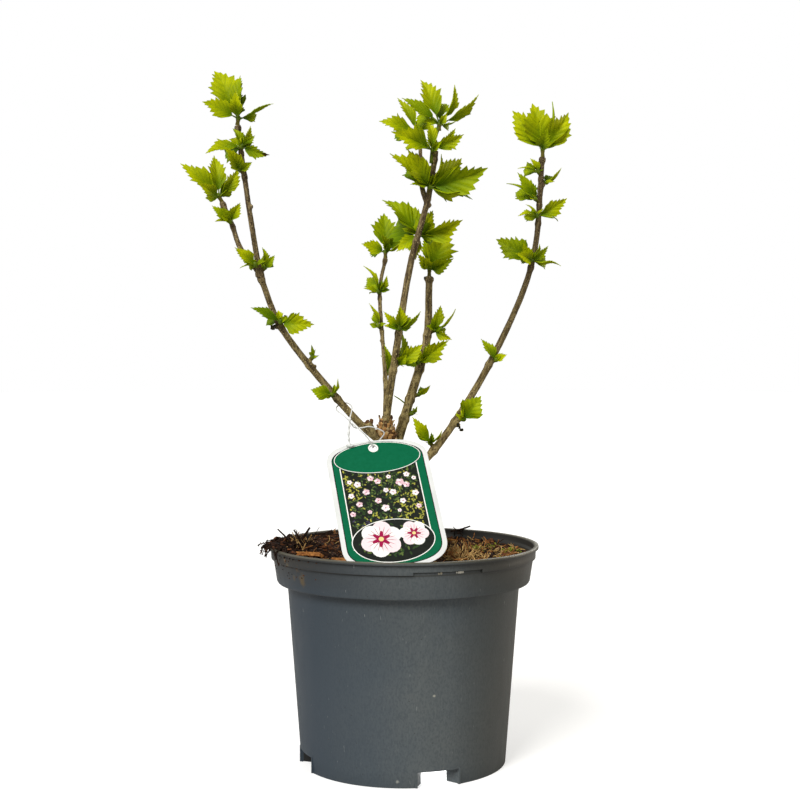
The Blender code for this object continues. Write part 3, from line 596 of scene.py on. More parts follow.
def bed_height(x, y):
    """The bed's height in mm at a place in mm: the solid's, banked up behind, with finer lumps."""
    mound = 8.5 * math.exp(-(math.hypot(x + 76, y + 8) / 26) ** 2)
    bank = 2.8 * max(0.0, -y / 95) ** 2
    dent = 3.5 * math.exp(-(((x + 6) / 24) ** 4) - ((y + 84) / 7) ** 2)
    back = 1.5 * max(0.0, y / 95) ** 2
    bank_left = 5.0 * math.exp(-(((x + 48) / 34) ** 2) - ((y - 62) / 30) ** 2)
    level = BED_LEVEL + mound + bank + back + bank_left - dent
    lumps = 1.3 * noise.fractal(Vector((x, y, 3)) * 0.11, 0.9, 2.0, 3)
    crumbs = 0.9 * noise.fractal(Vector((x, y, 9)) * 0.42, 0.8, 2.2, 3)
    seat = min(1.0, max(0.0, math.hypot(x, y) / SEAT_RADIUS - 1.0))
    rim = min(1.0, max(0.0, (BED_RADIUS - math.hypot(x, y)) / 4 + 0.3))
    return SEAT_LEVEL + (level - SEAT_LEVEL) * seat + (lumps + crumbs) * rim * (0.25 + 0.75 * seat)


print("mound:", round(bed_height(-76, -8), 1), "mm high; right side:", round(bed_height(60, 0), 1), "mm")

# %% Make the bed as a closed disc
def grow_rim(bm, edges):
    """Extrudes an open rim, and returns the new rim's points and edges."""
    grown = bmesh.ops.extrude_edge_only(bm, edges=edges)["geom"]
    verts = [item for item in grown if isinstance(item, bmesh.types.BMVert)]
    rim = [item for item in grown if isinstance(item, bmesh.types.BMEdge) and item.is_boundary]
    return verts, rim


bm = spin_once([(BED_RADIUS * share, 0) for share in np.linspace(0, 1, 80)], 220)
for vert in bm.verts:
    vert.co.z = bed_height(vert.co.x / MM, vert.co.y / MM) * MM
low, rim = grow_rim(bm, [edge for edge in bm.edges if edge.is_boundary])
for vert in low:
    vert.co.z = BED_FOOT_LEVEL * MM
    vert.co.xy *= BED_FOOT_RADIUS / BED_RADIUS
bmesh.ops.edgeloop_fill(bm, edges=rim)
bmesh.ops.recalc_face_normals(bm, faces=bm.faces)

compost_soil, tree, shader = open_finish("compost_soil", Roughness=0.95, Specular_IOR_Level=0.15)
soil = mix_colors(tree, effect(tree, patches, Scale=160, Low=0.4, High=0.6), (24, 14, 10), (60, 35, 22))
soil = lay(
    tree, soil,
    (effect(tree, patches, Scale=420, Low=0.55, High=0.7), (104, 60, 34)),
    (effect(tree, specks, Scale=700, Size=0.30), (150, 112, 70)),
)
close_finish(tree, shader, soil, Scale=1400, Depth=0.0006)
add_piece("compost_bed", bm, [compost_soil], ("compost",), angle=80)

# %% [markdown]
# Chips lie every way up. Each one here is a copy of one small block, pulled to its own
# length, width and thickness, with its corners moved at random. They are strewn more thickly
# at the left rim, where the compost is heaped. Colours go chip by chip as plain base colours.

# %% Chip and fibre blanks
def soften(bm, factor):
    """Moves each point towards the middle of its neighbours."""
    bmesh.ops.smooth_vert(bm, verts=bm.verts, factor=factor, use_axis_x=True, use_axis_y=True, use_axis_z=True)


def tube_blank(stations, sides):
    """A closed straight tube of radius 1 that rises by 1 from ring to ring, as arrays."""
    bm = bmesh.new()
    bmesh.ops.create_circle(bm, cap_ends=True, segments=sides, radius=1.0)
    rim = bm.edges[:]
    for _ in range(stations - 1):
        verts, rim = grow_rim(bm, rim)
        bmesh.ops.translate(bm, verts=verts, vec=(0, 0, 1))
    bmesh.ops.edgeloop_fill(bm, edges=rim)
    bmesh.ops.recalc_face_normals(bm, faces=bm.faces)
    return read_shape(bm)


bm = bmesh.new()
bmesh.ops.create_cube(bm, size=1.0)
bmesh.ops.subdivide_edges(bm, edges=bm.edges[:], cuts=1, use_grid_fill=True)
soften(bm, 0.35)
CHIP = read_shape(bm)
points, faces = tube_blank(7, 4)
FIBRE = points * (0.5, 0.5, 1 / 6) - (0, 0, 0.5), faces
print("chip:", len(CHIP[1]), "faces; fibre:", len(FIBRE[1]), "faces")

# %% Helpers that turn and place the blanks
rng = np.random.default_rng(5)


def polar(radius, angle):
    """Across and deep, for a distance from the axis and an angle round it."""
    return radius * math.cos(angle), radius * math.sin(angle)


def choose(draw, *odds):
    """Draws a number from 0 on, by its odds."""
    return int(draw.choice(len(odds), p=odds))


def crumb(draw, size, rough):
    """The chip's blank at a size in mm, with its corners moved at random."""
    return CHIP[0] * size * (1 + draw.uniform(-rough, rough, (len(CHIP[0]), 3)))


def set_down(points, turn, place):
    """Turns points in mm and sets them down at a place in mm. They come back in metres."""
    return points @ np.array(turn).T * MM + np.array(place) * MM


def any_turn(tilt):
    """A turn about the upright, then a tip over by up to some degrees."""
    spin = Matrix.Rotation(rng.uniform(0, 2 * math.pi), 3, "Z")
    tip = math.radians(rng.uniform(-tilt, tilt))
    return spin @ Matrix.Rotation(tip, 3, Vector((rng.normal(), rng.normal(), 0)).normalized())


def strewn_place(reach):
    """A random place on the bed in mm, not under the label's foot or in the trunk."""
    while True:
        angle = rng.uniform(0, 2 * math.pi)
        x, y = polar(reach * math.sqrt(rng.uniform(0.03, 1)), angle)
        under_card = abs(x + 4) < 34 and -87 < y < -52
        if math.hypot(x, y) > 15 and not under_card:
            return x, y


def chip_at(place, size, tilt, tone, bearing=None):
    """A chip that lies any way up, or along a bearing where one is told."""
    points = crumb(rng, size, 0.25)
    turn = any_turn(tilt)
    if bearing is not None:
        turn = Matrix.Rotation(math.radians(bearing), 3, "Z") @ Matrix.Rotation(math.radians(-tilt), 3, "X")
    return set_down(points, turn, place), CHIP[1], tone


def fibre_at(place, length, width, bend, tilt, tone):
    """A fibre bent into an arc, lying or standing by its tilt."""
    points = FIBRE[0] * (width, width, length)
    along = FIBRE[0][:, 2] + 0.5
    arc = np.stack((bend * along**2, 0.4 * bend * np.sin(3 * along), np.zeros_like(along)), 1) * length
    turn = Matrix.Rotation(rng.uniform(0, 2 * math.pi), 3, "Z") @ Matrix.Rotation(math.radians(90 - tilt), 3, "Y")
    return set_down(points + arc, turn, place), FIBRE[1], tone


print("helpers: polar, choose, crumb, set_down, any_turn, strewn_place, chip_at, fibre_at")

# %% Strew the chips
BIG_CHIPS = (
    (-65, -39, 20, 2, -14), (-41, -50, 14, 2, -8), (-46, -62, 13, 2, -25), (-56, -12, 12, 1, 35),
    (60, -46, 14, 2, 30), (74, -20, 15, 2, 62), (50, -58, 12, 2, 12), (66, 4, 11, 3, 80), (-30, 50, 14, 2, 20),
    (34, 62, 13, 2, -30),
)
chips = []
for _ in range(1500):
    x, y = strewn_place(88)
    long = rng.uniform(1.4, 4.8) * (1.7 if rng.uniform() < 0.12 else 1)
    size = (long, long * rng.uniform(0.35, 0.75), long * rng.uniform(0.15, 0.35))
    tone = choose(rng, *((0.62, 0.27, 0.08, 0.03) if x < -15 else (0.50, 0.27, 0.16, 0.07)))
    chips.append(chip_at((x, y, bed_height(x, y) + size[2] * 0.35), size, 35, tone))
for _ in range(330):
    angle = rng.uniform(2.95, 3.75)
    radius = rng.uniform(62, 92)
    x, y = polar(radius, angle)
    long = rng.uniform(2, 5.5)
    size = (long, long * rng.uniform(0.3, 0.7), long * rng.uniform(0.2, 0.4))
    height = bed_height(*(np.array((x, y)) * min(1, 87 / radius)))
    heap = 6.5 * math.exp(-(((x + 80) / 13) ** 2) - ((y + 15) / 15) ** 2)
    height = max(height, 153.4 if radius > 88 else 0) + rng.uniform(-0.5, 1) * 1.2 + heap * rng.uniform(0.1, 1)
    chips.append(chip_at((x, y, height), size, 60, choose(rng, 0.8, 0.2)))
for x, y, long, tone, bearing in BIG_CHIPS:
    chips.append(chip_at((x, y, bed_height(x, y) + 1.8), (long, long * 0.30, long * 0.14), 24, tone, bearing))
print("chips:", len(chips))

# %% [markdown]
# Straw-coloured fibres lie between the chips, thickest in a tuft at the right. Each could be a
# curve with a bevel, but hundreds of curves are slow to turn into a mesh. So one straight tube
# is made once, and bent and placed as an array.

# %% Fibres: strewn, in the right tuft, over the right side, and on the left heap
fibres = []
for _ in range(420):
    x, y = strewn_place(87)
    length = rng.uniform(4, 13)
    width, bend, tilt = rng.uniform(0.25, 0.7), rng.uniform(-0.5, 0.5), rng.uniform(-6, 22)
    tone = choose(rng, 0.4, 0.3, 0.3)
    fibres.append(fibre_at((x, y, bed_height(x, y) + 0.6), length, width, bend, tilt, tone))
for _ in range(150):
    x, y = rng.normal(40, 6), rng.normal(-30, 12)
    length = rng.uniform(6, 14)
    tone = choose(rng, 0.15, 0.15, 0.7)
    place = (x, y, bed_height(x, y) + rng.uniform(0.3, 5.5))
    fibres.append(fibre_at(place, length, rng.uniform(0.5, 1.1), rng.uniform(-0.8, 0.8), rng.uniform(-8, 55), tone))
for _ in range(150):
    x, y = rng.uniform(28, 80), rng.uniform(-55, 25)
    if math.hypot(x, y) < 84:
        place = (x, y, bed_height(x, y) + rng.uniform(0.8, 2.2))
        tone = 1 + choose(rng, 0.45, 0.55)
        length, width = rng.uniform(5, 13), rng.uniform(0.4, 0.8)
        fibres.append(fibre_at(place, length, width, rng.uniform(-0.6, 0.6), rng.uniform(-6, 14), tone))
for _ in range(110):
    x, y = rng.normal(-72, 6), rng.normal(-20, 9)
    place = (x, y, bed_height(x, y) + rng.uniform(0.5, 5.0))
    tone = choose(rng, 0.5, 0.2, 0.3)
    length, width = rng.uniform(4, 11), rng.uniform(0.3, 0.8)
    fibres.append(fibre_at(place, length, width, rng.uniform(-0.7, 0.7), rng.uniform(-10, 50), tone))
print("fibres:", len(fibres))

# %% [markdown]
# A few black twigs stand above the rim, and rootlets with crumbs on them hang over it at the
# left. They are the same tube with a few more places to bend at, laid along a shallow bow.

# %% Twigs, and rootlets that hang over the rim at the left
TUBES = {}


def stalk(points, radii, sides):
    """A thin tube's blank, bent to run through a few points with a radius at each."""
    key = len(points), sides
    if key not in TUBES:
        TUBES[key] = tube_blank(*key)
    blank_points, blank_faces = TUBES[key]
    rings = []
    side = Vector((0.3, 0.2, 1)).normalized()
    for i, point in enumerate(points):
        along = (points[min(i + 1, len(points) - 1)] - points[max(i - 1, 0)]).normalized()
        side = (side - along * side.dot(along)).normalized()
        rings.append((point, side * radii[i], along.cross(side) * radii[i]))
    bent = []
    for x, y, station in blank_points:
        middle, side, across = rings[round(station)]
        bent.append(middle + side * x + across * y)
    return np.array(bent), blank_faces


def arc(a, b, bow, count):
    """Points from a to b on a shallow bow."""
    return [a.lerp(b, k / (count - 1)) + bow * math.sin(math.pi * k / (count - 1)) for k in range(count)]


TWIGS = (
    ((-76, -17, 154), (-87, -20, 165.5), 1.3), ((-70, -16, 154), (-75.8, -20, 165), 1.5),
    ((-76, -14, 153), (-64.8, -20, 166.5), 1.9), ((-70, -20, 153), (-63, -27, 159), 1.0),
    ((36, 80, 151.5), (51, 79, 155.6), 1.5), ((41, 76, 150), (47, 82, 154.6), 0.8),
    ((45, 74, 149), (38, 84, 154.4), 0.7), ((60, 20, 148), (73, 34, 151.5), 0.9),
)
TWIG_TAPER = (1.1, 1.0, 1.0, 0.95, 0.9, 0.75)
for low, high, width in TWIGS:
    route = [point * MM for point in arc(Vector(low), Vector(high), Vector((0.6, 0, -0.5)), 6)]
    fibres.append((*stalk(route, [width * 0.5 * MM * share for share in TWIG_TAPER], 5), 0))
hanging = []
for _ in range(30):
    angle = math.radians(rng.normal(193, 6))
    start = Vector((*polar(91.5, angle), 153.6 + rng.uniform(0, 1.5)))
    out = angle + rng.normal(0, 0.09)
    reach = 96.3 + 6.5 * rng.uniform(0, 1) ** 1.5
    end = Vector((*polar(reach, out), 152.5 - 8.5 * rng.uniform(0, 1) ** 1.3))
    bow = Vector((*polar(1.8, angle), rng.uniform(1.0, 3.0)))
    route = [point * MM for point in arc(start, end, bow, 7)]
    fibres.append((*stalk(route, [rng.uniform(0.22, 0.42) * MM] * 7, 5), 0))
    for point in route[2:]:
        if rng.uniform() < 0.45:
            size = (rng.uniform(0.8, 2.2), rng.uniform(0.6, 1.3), rng.uniform(0.5, 1.0))
            hanging.append(chip_at(tuple(point / MM), size, 80, choose(rng, 0.8, 0.2)))
print("twigs:", len(TWIGS), "rootlets' crumbs:", len(hanging))

# %% [markdown]
# Watering has splashed soil on the collar's left, and moss grows in small tufts. Both could be
# painted on, but they stand up and break the outline. So both are crumbs of the chip's blank:
# the soil's are set on the collar's own radius at each height, and the moss's on the bed.

# %% Soil stuck to the collar's left, and moss
COLLAR_HEIGHTS = (128.7, 140.1, 143.7, 144.2, 150.6)
COLLAR_RADII = (89.0, 90.75, 91.3, 92.9, 93.1)
stuck = []
for _ in range(60):
    angle = math.radians(rng.normal(211, 8))
    height = rng.choice((149.6, 143.6, rng.uniform(135, 150)), p=(0.25, 0.2, 0.55))
    place = (*polar(np.interp(height, COLLAR_HEIGHTS, COLLAR_RADII), angle), height)
    long = rng.uniform(0.5, 1.3)
    stuck.append(chip_at(place, (long, long * rng.uniform(0.5, 0.9), long * 0.5), 80, choose(rng, 0.7, 0.3)))
moss = []
for cx, cy, bits in ((51, 8, 50), (76, 2, 60), (64, 22, 20), (70, -46, 20), (30, 60, 26), (-40, 55, 26)):
    for _ in range(bits):
        x, y = rng.normal(cx, 2.8), rng.normal(cy, 2.2)
        size = (rng.uniform(0.8, 2.0), rng.uniform(0.4, 0.9), rng.uniform(0.3, 0.6))
        if math.hypot(x, y) < 88:
            moss.append(chip_at((x, y, bed_height(x, y) + rng.uniform(0.6, 4.2)), size, 80, 4))
print("stuck crumbs:", len(stuck), "bits of moss:", len(moss))

# %% Chip finishes
CHIP_TONES = {
    "dark_chip": ((20, 13, 10), (48, 30, 20)),
    "brown_chip": ((60, 35, 21), (104, 64, 38)),
    "rust_chip": ((104, 62, 30), (168, 114, 60)),
    "straw": ((122, 92, 48), (190, 158, 104)),
    "moss_green": ((84, 96, 24), (152, 160, 58)),
}


def chip_finish(name, low, high, roughness=0.9):
    relief = {"Scale": 2400, "Depth": 0.0002}
    return two_tone(name, low, high, 500, relief=relief, Roughness=roughness, Specular_IOR_Level=0.15)


chip_finishes = [chip_finish(name, *pair) for name, pair in CHIP_TONES.items()]
dark_chip, _, rust_chip, straw, _ = chip_finishes
add_heap("compost_chips", chips + moss + hanging + stuck, chip_finishes, angle=25)
add_heap("compost_fibres", fibres, [dark_chip, rust_chip, straw], angle=60)

# %% [markdown]
# ## Trunk and boughs
# The stems are grey-brown and knobbly: swollen where a leaf has been, with a collar at each
# fork. The solids are plain tubes a hair apart. Here the same routes are swept as finer tubes
# that run into each other, and a voxel Remesh melts them into one skin, as wood grows.

# %% The limbs' routes and radii, by the solids' rule
LIMBS = {
    "trunk": (((0, 0, 146.3), (-3, 1, 182), (-9, 2, 214), (-12, 4, 226)), (12.0, 6.4)),
    "left_bough": (((-5, 1, 217), (-23, -5, 231), (-43, -12, 252), (-82, -26, 302), (-97, -36, 339)), (3.0, 2.15)),
    "tall_bough": (
        ((-11, 3, 220), (-12, 0, 240), (-3, -14, 302), (5, -20, 349), (17, -25, 394), (24, -30, 438)),
        (3.1, 1.9),
    ),
    "stout_bough": (((-7, 8, 215), (6, 26, 258), (17, 38, 296), (19, 46, 343)), (3.9, 2.6)),
    "slim_bough": (((-13, 5, 232), (-13, 16, 271), (-17, 32, 328), (-13, 38, 356)), (1.8, 1.45)),
    "right_bough": (((-4, 2, 193), (27, 18, 224), (63, 36, 280), (94, 46, 352), (101, 38, 429)), (3.1, 1.95)),
    "left_inner_arm": (((-97, -36, 339), (-103.5, -46, 385), (-110, -54, 438)), (2.1, 1.8)),
    "left_outer_arm": (((-97.5, -36, 342), (-111, -26, 358), (-118, -20, 376), (-125, -16, 391)), (2.1, 1.7)),
    "tall_left_arm": (((16, -24.5, 391), (13, -14, 401), (12, 2, 422), (12, 12, 450)), (1.9, 1.4)),
}
LIMB_STATION = 0.015
FINE_STATION = 0.0015


def smooth_route(points, steps, closed=False):
    """Reads a Catmull-Rom curve through the points in mm, with some steps to each leg."""
    knots = [Vector(point) * MM for point in points]
    count = len(knots)
    if closed:
        legs = [[knots[(i + k) % count] for k in (-1, 0, 1, 2)] for i in range(count)]
    else:
        knots = [knots[0] * 2 - knots[1]] + knots + [knots[-1] * 2 - knots[-2]]
        legs = [knots[i : i + 4] for i in range(count - 1)]
    route = []
    for (a, b, c, d), leg_steps in zip(legs, steps):
        for step in range(leg_steps):
            t = step / leg_steps
            bend = (2 * a - 5 * b + 4 * c - d) * t**2 + (3 * b - 3 * c + d - a) * t**3
            route.append(0.5 * (2 * b + (c - a) * t + bend))
    if not closed:
        route.append(knots[-2])
    return route


def limb_route(name, station=LIMB_STATION):
    points = LIMBS[name][0]
    legs = [(Vector(b) - Vector(a)).length * MM for a, b in zip(points, points[1:])]
    return smooth_route(points, [max(2, round(leg / station)) for leg in legs])


def limb_radii(name, route):
    """An even taper, with a swollen collar at the foot."""
    foot, tip = (radius * MM for radius in LIMBS[name][1])
    last = len(route) - 1
    radii = []
    for i, point in enumerate(route):
        swell = 0.35 * math.exp(-(point - route[0]).length / 0.007)
        radii.append((foot + (tip - foot) * i / last) * (1 + swell))
    return radii


def point_on_limb(name, height):
    """The place on a limb's axis at a height in mm."""
    route = limb_route(name)
    for a, b in zip(route, route[1:]):
        if a.z <= height * MM <= b.z:
            return a.lerp(b, (height * MM - a.z) / (b.z - a.z))
    return route[-1]


def heading(bearing, lean):
    """The direction of a bearing, seen from the front, and a lean towards the viewer."""
    bearing, lean = math.radians(bearing), math.radians(lean)
    return Vector((math.sin(bearing) * math.cos(lean), -math.sin(lean), math.cos(bearing) * math.cos(lean)))


print("limbs:", len(LIMBS))

# %% [markdown]
# ## The shoots' table
# Each shoot of leaves is told by its limb, its height, the short spur that it grows on, and
# its leading leaves. A bearing turns from straight up to the right, a lean is towards the
# viewer, a reach is in mm as seen from the front, and a roll turns a leaf on its midrib. The
# table is the solids' own, so that every leaf stays where its solid is.

# %% Shoots
SHOOTS = (
    ("left_inner_tip", "left_inner_arm", 438, (10, 10, 4),
     ((-29, 39, -20, 20), (-66, 25, 15, 15), (0, 16, 35, 0), (57, 25, 0, 75), (-1, 30, -12, -25))),
    ("left_inner_high", "left_inner_arm", 421, (32, 65, 6),
     ((-102, 24, 10, 35), (-24, 14, -10, 40), (26, 15, 0, 40), (108, 19, 15, 25), (53, 11, 20, 10))),
    ("left_inner_mid", "left_inner_arm", 406, (-46, 52, 6), ((-31, 14, 30, 10), (64, 10, 15, 20))),
    ("left_fork_right", "left_inner_arm", 341, (45, 11, 5), ((-3, 14, 10, 50), (40, 11, 15, 0))),
    ("left_fork_left", "left_inner_arm", 344, (-41, 65, 6), ((-47, 18, 20, 20), (-98, 10, 30, 80))),
    ("left_outer_tip", "left_outer_arm", 391, (-31, 0, 4),
     ((-48, 34, 10, 25), (-6, 30, -15, 15), (34, 24, 0, 35), (-59, 14, 45, 0))),
    ("left_outer_mid", "left_outer_arm", 375, (-26, 70, 5),
     ((-45, 16, 15, 20), (-22, 11, 25, 10), (28, 15, 10, 0), (-90, 10, 20, 50))),
    ("left_low_pair", "left_bough", 306, (12, 68, 5), ((-64, 22, 5, 35), (95, 23, 15, 0))),
    ("left_low_bud", "left_bough", 280, (39, 0, 5), ((-5, 9, 0, 30),)),
    ("left_foot_pair", "left_bough", 257, (-65, 68, 6), ((-72, 15, 15, 0), (20, 12, 10, 55))),
    ("slim_tip", "slim_bough", 356, (0, 0, 4),
     ((-72, 18, 20, 10), (0, 29, -15, 0), (36, 25, -5, 20), (54, 17, 10, 70))),
    ("slim_high", "slim_bough", 328, (-14, 55, 5), ((-27, 22, 0, 60), (-75, 11, 20, 30), (27, 13, 15, 40))),
    ("slim_mid", "slim_bough", 304, (-45, 45, 4), ((-21, 18, 10, 50),)),
    ("slim_low", "slim_bough", 270, (34, -38, 4), ((-4, 21, 5, 45),)),
    ("tall_low", "tall_bough", 276, (45, -19, 5), ((49, 22, 10, 10), (9, 23, -10, 60))),
    ("tall_mid", "tall_bough", 302, (0, 68, 5),
     ((-40, 16, 15, 0), (0, 16, 20, 15), (52, 19, 5, 60), (-79, 11, 10, 40))),
    ("tall_back", "tall_bough", 365, (30, -64, 8),
     ((-44, 36, -5, 40), (-28, 25, -20, 20), (28, 20, -15, 15), (71, 32, 0, 30), (-122, 19, 10, 20),
      (-173, 17, 5, 20))),
    ("tall_fork", "tall_bough", 394, (6, 35, 7),
     ((-51, 35, 10, 30), (-32, 28, 25, 0), (73, 41, 10, 20), (49, 31, -10, 10), (96, 26, 10, 65),
      (24, 24, 0, 50))),
    ("tall_high", "tall_bough", 420, (-20, 49, 7),
     ((-70, 30, 10, 15), (64, 23, 15, 15), (-8, 20, 0, 30), (48, 21, 5, 40))),
    ("tall_tip", "tall_bough", 438, (5, 0, 4),
     ((-54, 31, 5, 20), (-23, 34, -10, 20), (22, 29, 0, 65), (56, 33, 5, 45), (80, 12, 10, 60))),
    ("tall_left_tip", "tall_left_arm", 439, (-39, 54, 5),
     ((-74, 28, 10, 10), (-30, 29, -5, 25), (38, 15, -20, 30))),
    ("stout_tip", "stout_bough", 343, (2, 0, 5),
     ((26, 33, -5, 10), (69, 18, 30, 15), (-38, 13, 40, 0), (-10, 24, -10, 30))),
    ("stout_right", "stout_bough", 301, (67, 20, 6), ((13, 19, 0, 15), (48, 22, 5, 70), (120, 14, 15, 25))),
    ("stout_mid", "stout_bough", 277, (-27, 61, 7), ((55, 27, 15, 5), (-39, 15, 20, 20), (4, 10, 35, 0))),
    ("stout_low", "stout_bough", 255, (72, 0, 6), ((50, 11, 5, 30),)),
    ("stout_foot", "stout_bough", 241, (62, 22, 6), ((36, 7, 10, 40),)),
    ("right_foot", "right_bough", 219, (-45, 11, 5), ((-35, 23, 10, 5), (41, 13, 0, 60))),
    ("right_low", "right_bough", 239, (88, 31, 6), ((36, 21, 15, 0), (5, 15, 5, 35))),
    ("right_mid", "right_bough", 280, (67, 28, 5), ((-33, 19, 10, 20),)),
    ("right_high", "right_bough", 351, (-8, 56, 6),
     ((-59, 30, -5, 10), (-25, 14, 25, 0), (86, 21, 0, 75), (49, 16, 10, 30), (28, 14, -10, 50))),
    ("right_upper", "right_bough", 383, (-21, 56, 6),
     ((-84, 14, 10, 60), (-43, 12, 20, 50), (58, 25, 5, 20))),
    ("right_left", "right_bough", 396, (-51, 36, 5), ((-37, 23, 15, 0), (-60, 24, 5, 50))),
    ("right_side", "right_bough", 408, (45, -30, 4), ((50, 17, 5, 60),)),
    ("right_near_tip", "right_bough", 415, (-37, 36, 5), ((-79, 15, 5, 65), (-27, 11, 10, 40))),
    ("right_tip", "right_bough", 429, (0, 0, 5),
     ((-39, 36, -5, 0), (-14, 34, 5, 0), (35, 33, 0, 10), (50, 25, 10, 55), (12, 38, -15, 70))),
)
print("shoots:", len(SHOOTS))

# %% Sweep a ring along a route
def sweep(bm, route, radii, sides):
    """Extrudes a ring from place to place along the route, square to it and without twist."""
    side = Vector((1, 0, 0))
    places = []
    for i, point in enumerate(route):
        along = (route[min(i + 1, len(route) - 1)] - route[max(i - 1, 0)]).normalized()
        side = (side - along * side.dot(along)).normalized()
        turn = Matrix((side, along.cross(side), along)).transposed().to_4x4()
        places.append(Matrix.Translation(point) @ turn @ Matrix.Diagonal((radii[i], radii[i], 1, 1)))
    ring = bmesh.ops.create_circle(bm, cap_ends=False, segments=sides, radius=1.0, matrix=places[0])["verts"]
    rim = list(dict.fromkeys(edge for vert in ring for edge in vert.link_edges))
    bmesh.ops.edgeloop_fill(bm, edges=rim)
    for before, after in zip(places, places[1:]):
        verts, rim = grow_rim(bm, rim)
        bmesh.ops.transform(bm, matrix=after @ before.inverted(), verts=verts)
    bmesh.ops.edgeloop_fill(bm, edges=rim)


print("helpers: sweep")

# %% Sweep the limbs, swollen at every leaf's place
PRUNED_TOP = 0.4255
KNUCKLE_SWELL, TIP_SWELL, MOST_SWELL = 0.24, 0.40, 0.42
KNUCKLE = ((-12, 2.5, 222), (-12.3, 1.8, 228), (-12.3, 1.2, 234), (-12, 0.2, 242)), (6.2, 6.0, 5.0, 3.4)
STUB = ((-21, -4, 229), (-23, -6, 234), (-25, -8, 238.5)), (2.9, 3.1, 2.4)


def fine_radii(name, route):
    """The rule's radii, with a knuckle under each shoot and a flared collar at the tip."""
    if name == "trunk":
        rises = [(point.z - route[0].z) / 0.012 for point in route]
        return [0.0064 + 0.0056 * math.exp(-rise) + 0.0012 * math.exp(-((rise - 6) ** 2)) for rise in rises]
    coarse = limb_radii(name, route)
    heights = [row[2] for row in SHOOTS if row[1] == name]
    top = route[-1].z / MM
    radii = []
    for point, radius in zip(route, coarse):
        swell = sum(KNUCKLE_SWELL * math.exp(-(((point.z / MM - height + 1.5) / 1.5) ** 2)) for height in heights)
        swell += TIP_SWELL * math.exp(-(((point.z / MM - top + 2.0) / 1.8) ** 2))
        radii.append(radius * (1 + min(MOST_SWELL, swell) - 0.04))
    return radii


bm = bmesh.new()
for name in LIMBS:
    route = limb_route(name, FINE_STATION)
    radii = fine_radii(name, route)
    if name == "tall_bough":
        route = [point for point in route if point.z < PRUNED_TOP]
    sweep(bm, route, radii, 28 if name == "trunk" else 14)
for points, radii in (KNUCKLE, STUB):
    sweep(bm, [Vector(point) * MM for point in points], [radius * MM for radius in radii], 14)
print("swept:", len(bm.faces), "faces")

# %% Add knobs: one under each shoot, and those of lost leaves
KNOBS = (
    ("left_inner_arm", 385, (1.7, -0.6, 0), 1.7), ("right_bough", 409, (1.9, -0.4, 0), 1.7),
    ("right_bough", 400, (-1.8, -0.6, 0), 1.5), ("left_bough", 276, (1.8, -1.0, 2.0), 1.4),
    ("slim_bough", 296, (-1.0, -0.8, 0), 1.4), ("tall_bough", 388, (2.0, -0.8, 0), 1.9),
    ("left_bough", 306, (-2.6, -1.4, -1.0), 1.8), ("right_bough", 236, (3.2, -1.2, -0.5), 2.0),
    ("tall_left_arm", 447, (0, 0, 0), 1.8),
)
knobs = []
for _, limb, height, (bearing, lean, _), _ in SHOOTS:
    start = point_on_limb(limb, height)
    knobs.append((start + heading(bearing, lean) * (fine_radii(limb, [start, start])[0] * 0.75), 1.4))
knobs += [(point_on_limb(limb, height) + Vector(offset) * MM, radius) for limb, height, offset, radius in KNOBS]
for knob, radius in knobs:
    bmesh.ops.create_icosphere(bm, subdivisions=2, radius=radius * MM, matrix=Matrix.Translation(knob))
bmesh.ops.recalc_face_normals(bm, faces=bm.faces)
limb_blank = stand("limb_blank", bm)
print("knobs:", len(knobs))

# %% Melt them into one skin
VOXEL = 0.00060
melt = limb_blank.modifiers.new("melt", "REMESH")
melt.mode = "VOXEL"
melt.voxel_size = VOXEL
bm = bmesh.new()
bm.from_mesh(take_mesh(limb_blank))
for _ in range(3):
    soften(bm, 0.5)
print("skin:", len(bm.faces), "faces")

# %% [markdown]
# Young bark wrinkles lengthwise and carries small raised pores. A bump would not change the
# outline, so the skin itself is raised. A search tree finds the nearest point of the limbs'
# axes for each point of the skin. From it come the place along the limb and the angle round
# it, and the noise that raises the skin is drawn out along both.

# %% Raise the bark
BOUGH_RELIEF = 0.00024
TRUNK_RELIEF = 0.00060
TRUNK_IS_FURTHER_THAN = 0.0045
TRUNK_FOOT = 0.1463

axis_points = []
for number, name in enumerate(LIMBS):
    route = limb_route(name, FINE_STATION)
    walked = 0.0
    for i, point in enumerate(route):
        walked += (point - route[i - 1]).length if i else 0
        axis_points.append((point, walked, number))
finder = kdtree.KDTree(len(axis_points))
for index, (point, _, _) in enumerate(axis_points):
    finder.insert(point, index)
finder.balance()
bm.normal_update()
relief = bm.verts.layers.float.new("relief")
for vert in bm.verts:
    point, index, away = finder.find(vert.co)
    _, walked, number = axis_points[index]
    out = (vert.co - point).normalized()
    ridge = noise.noise(Vector((out.x * 2.8, out.y * 2.8, walked * 95 + number * 7)))
    fine = noise.noise(Vector((out.x * 4.6, out.y * 4.6 + out.z * 3, walked * 330 + number * 5)))
    depth = BOUGH_RELIEF if away < TRUNK_IS_FURTHER_THAN else TRUNK_RELIEF
    vert[relief] = ridge + fine * 0.6
    vert.co += vert.normal * (ridge * depth + fine * depth * 0.45)
    if number == 0 and vert.co.z < TRUNK_FOOT:
        vert.co.z = max(vert.co.z, TRUNK_FOOT - 0.0003)
print("axis points:", len(axis_points))
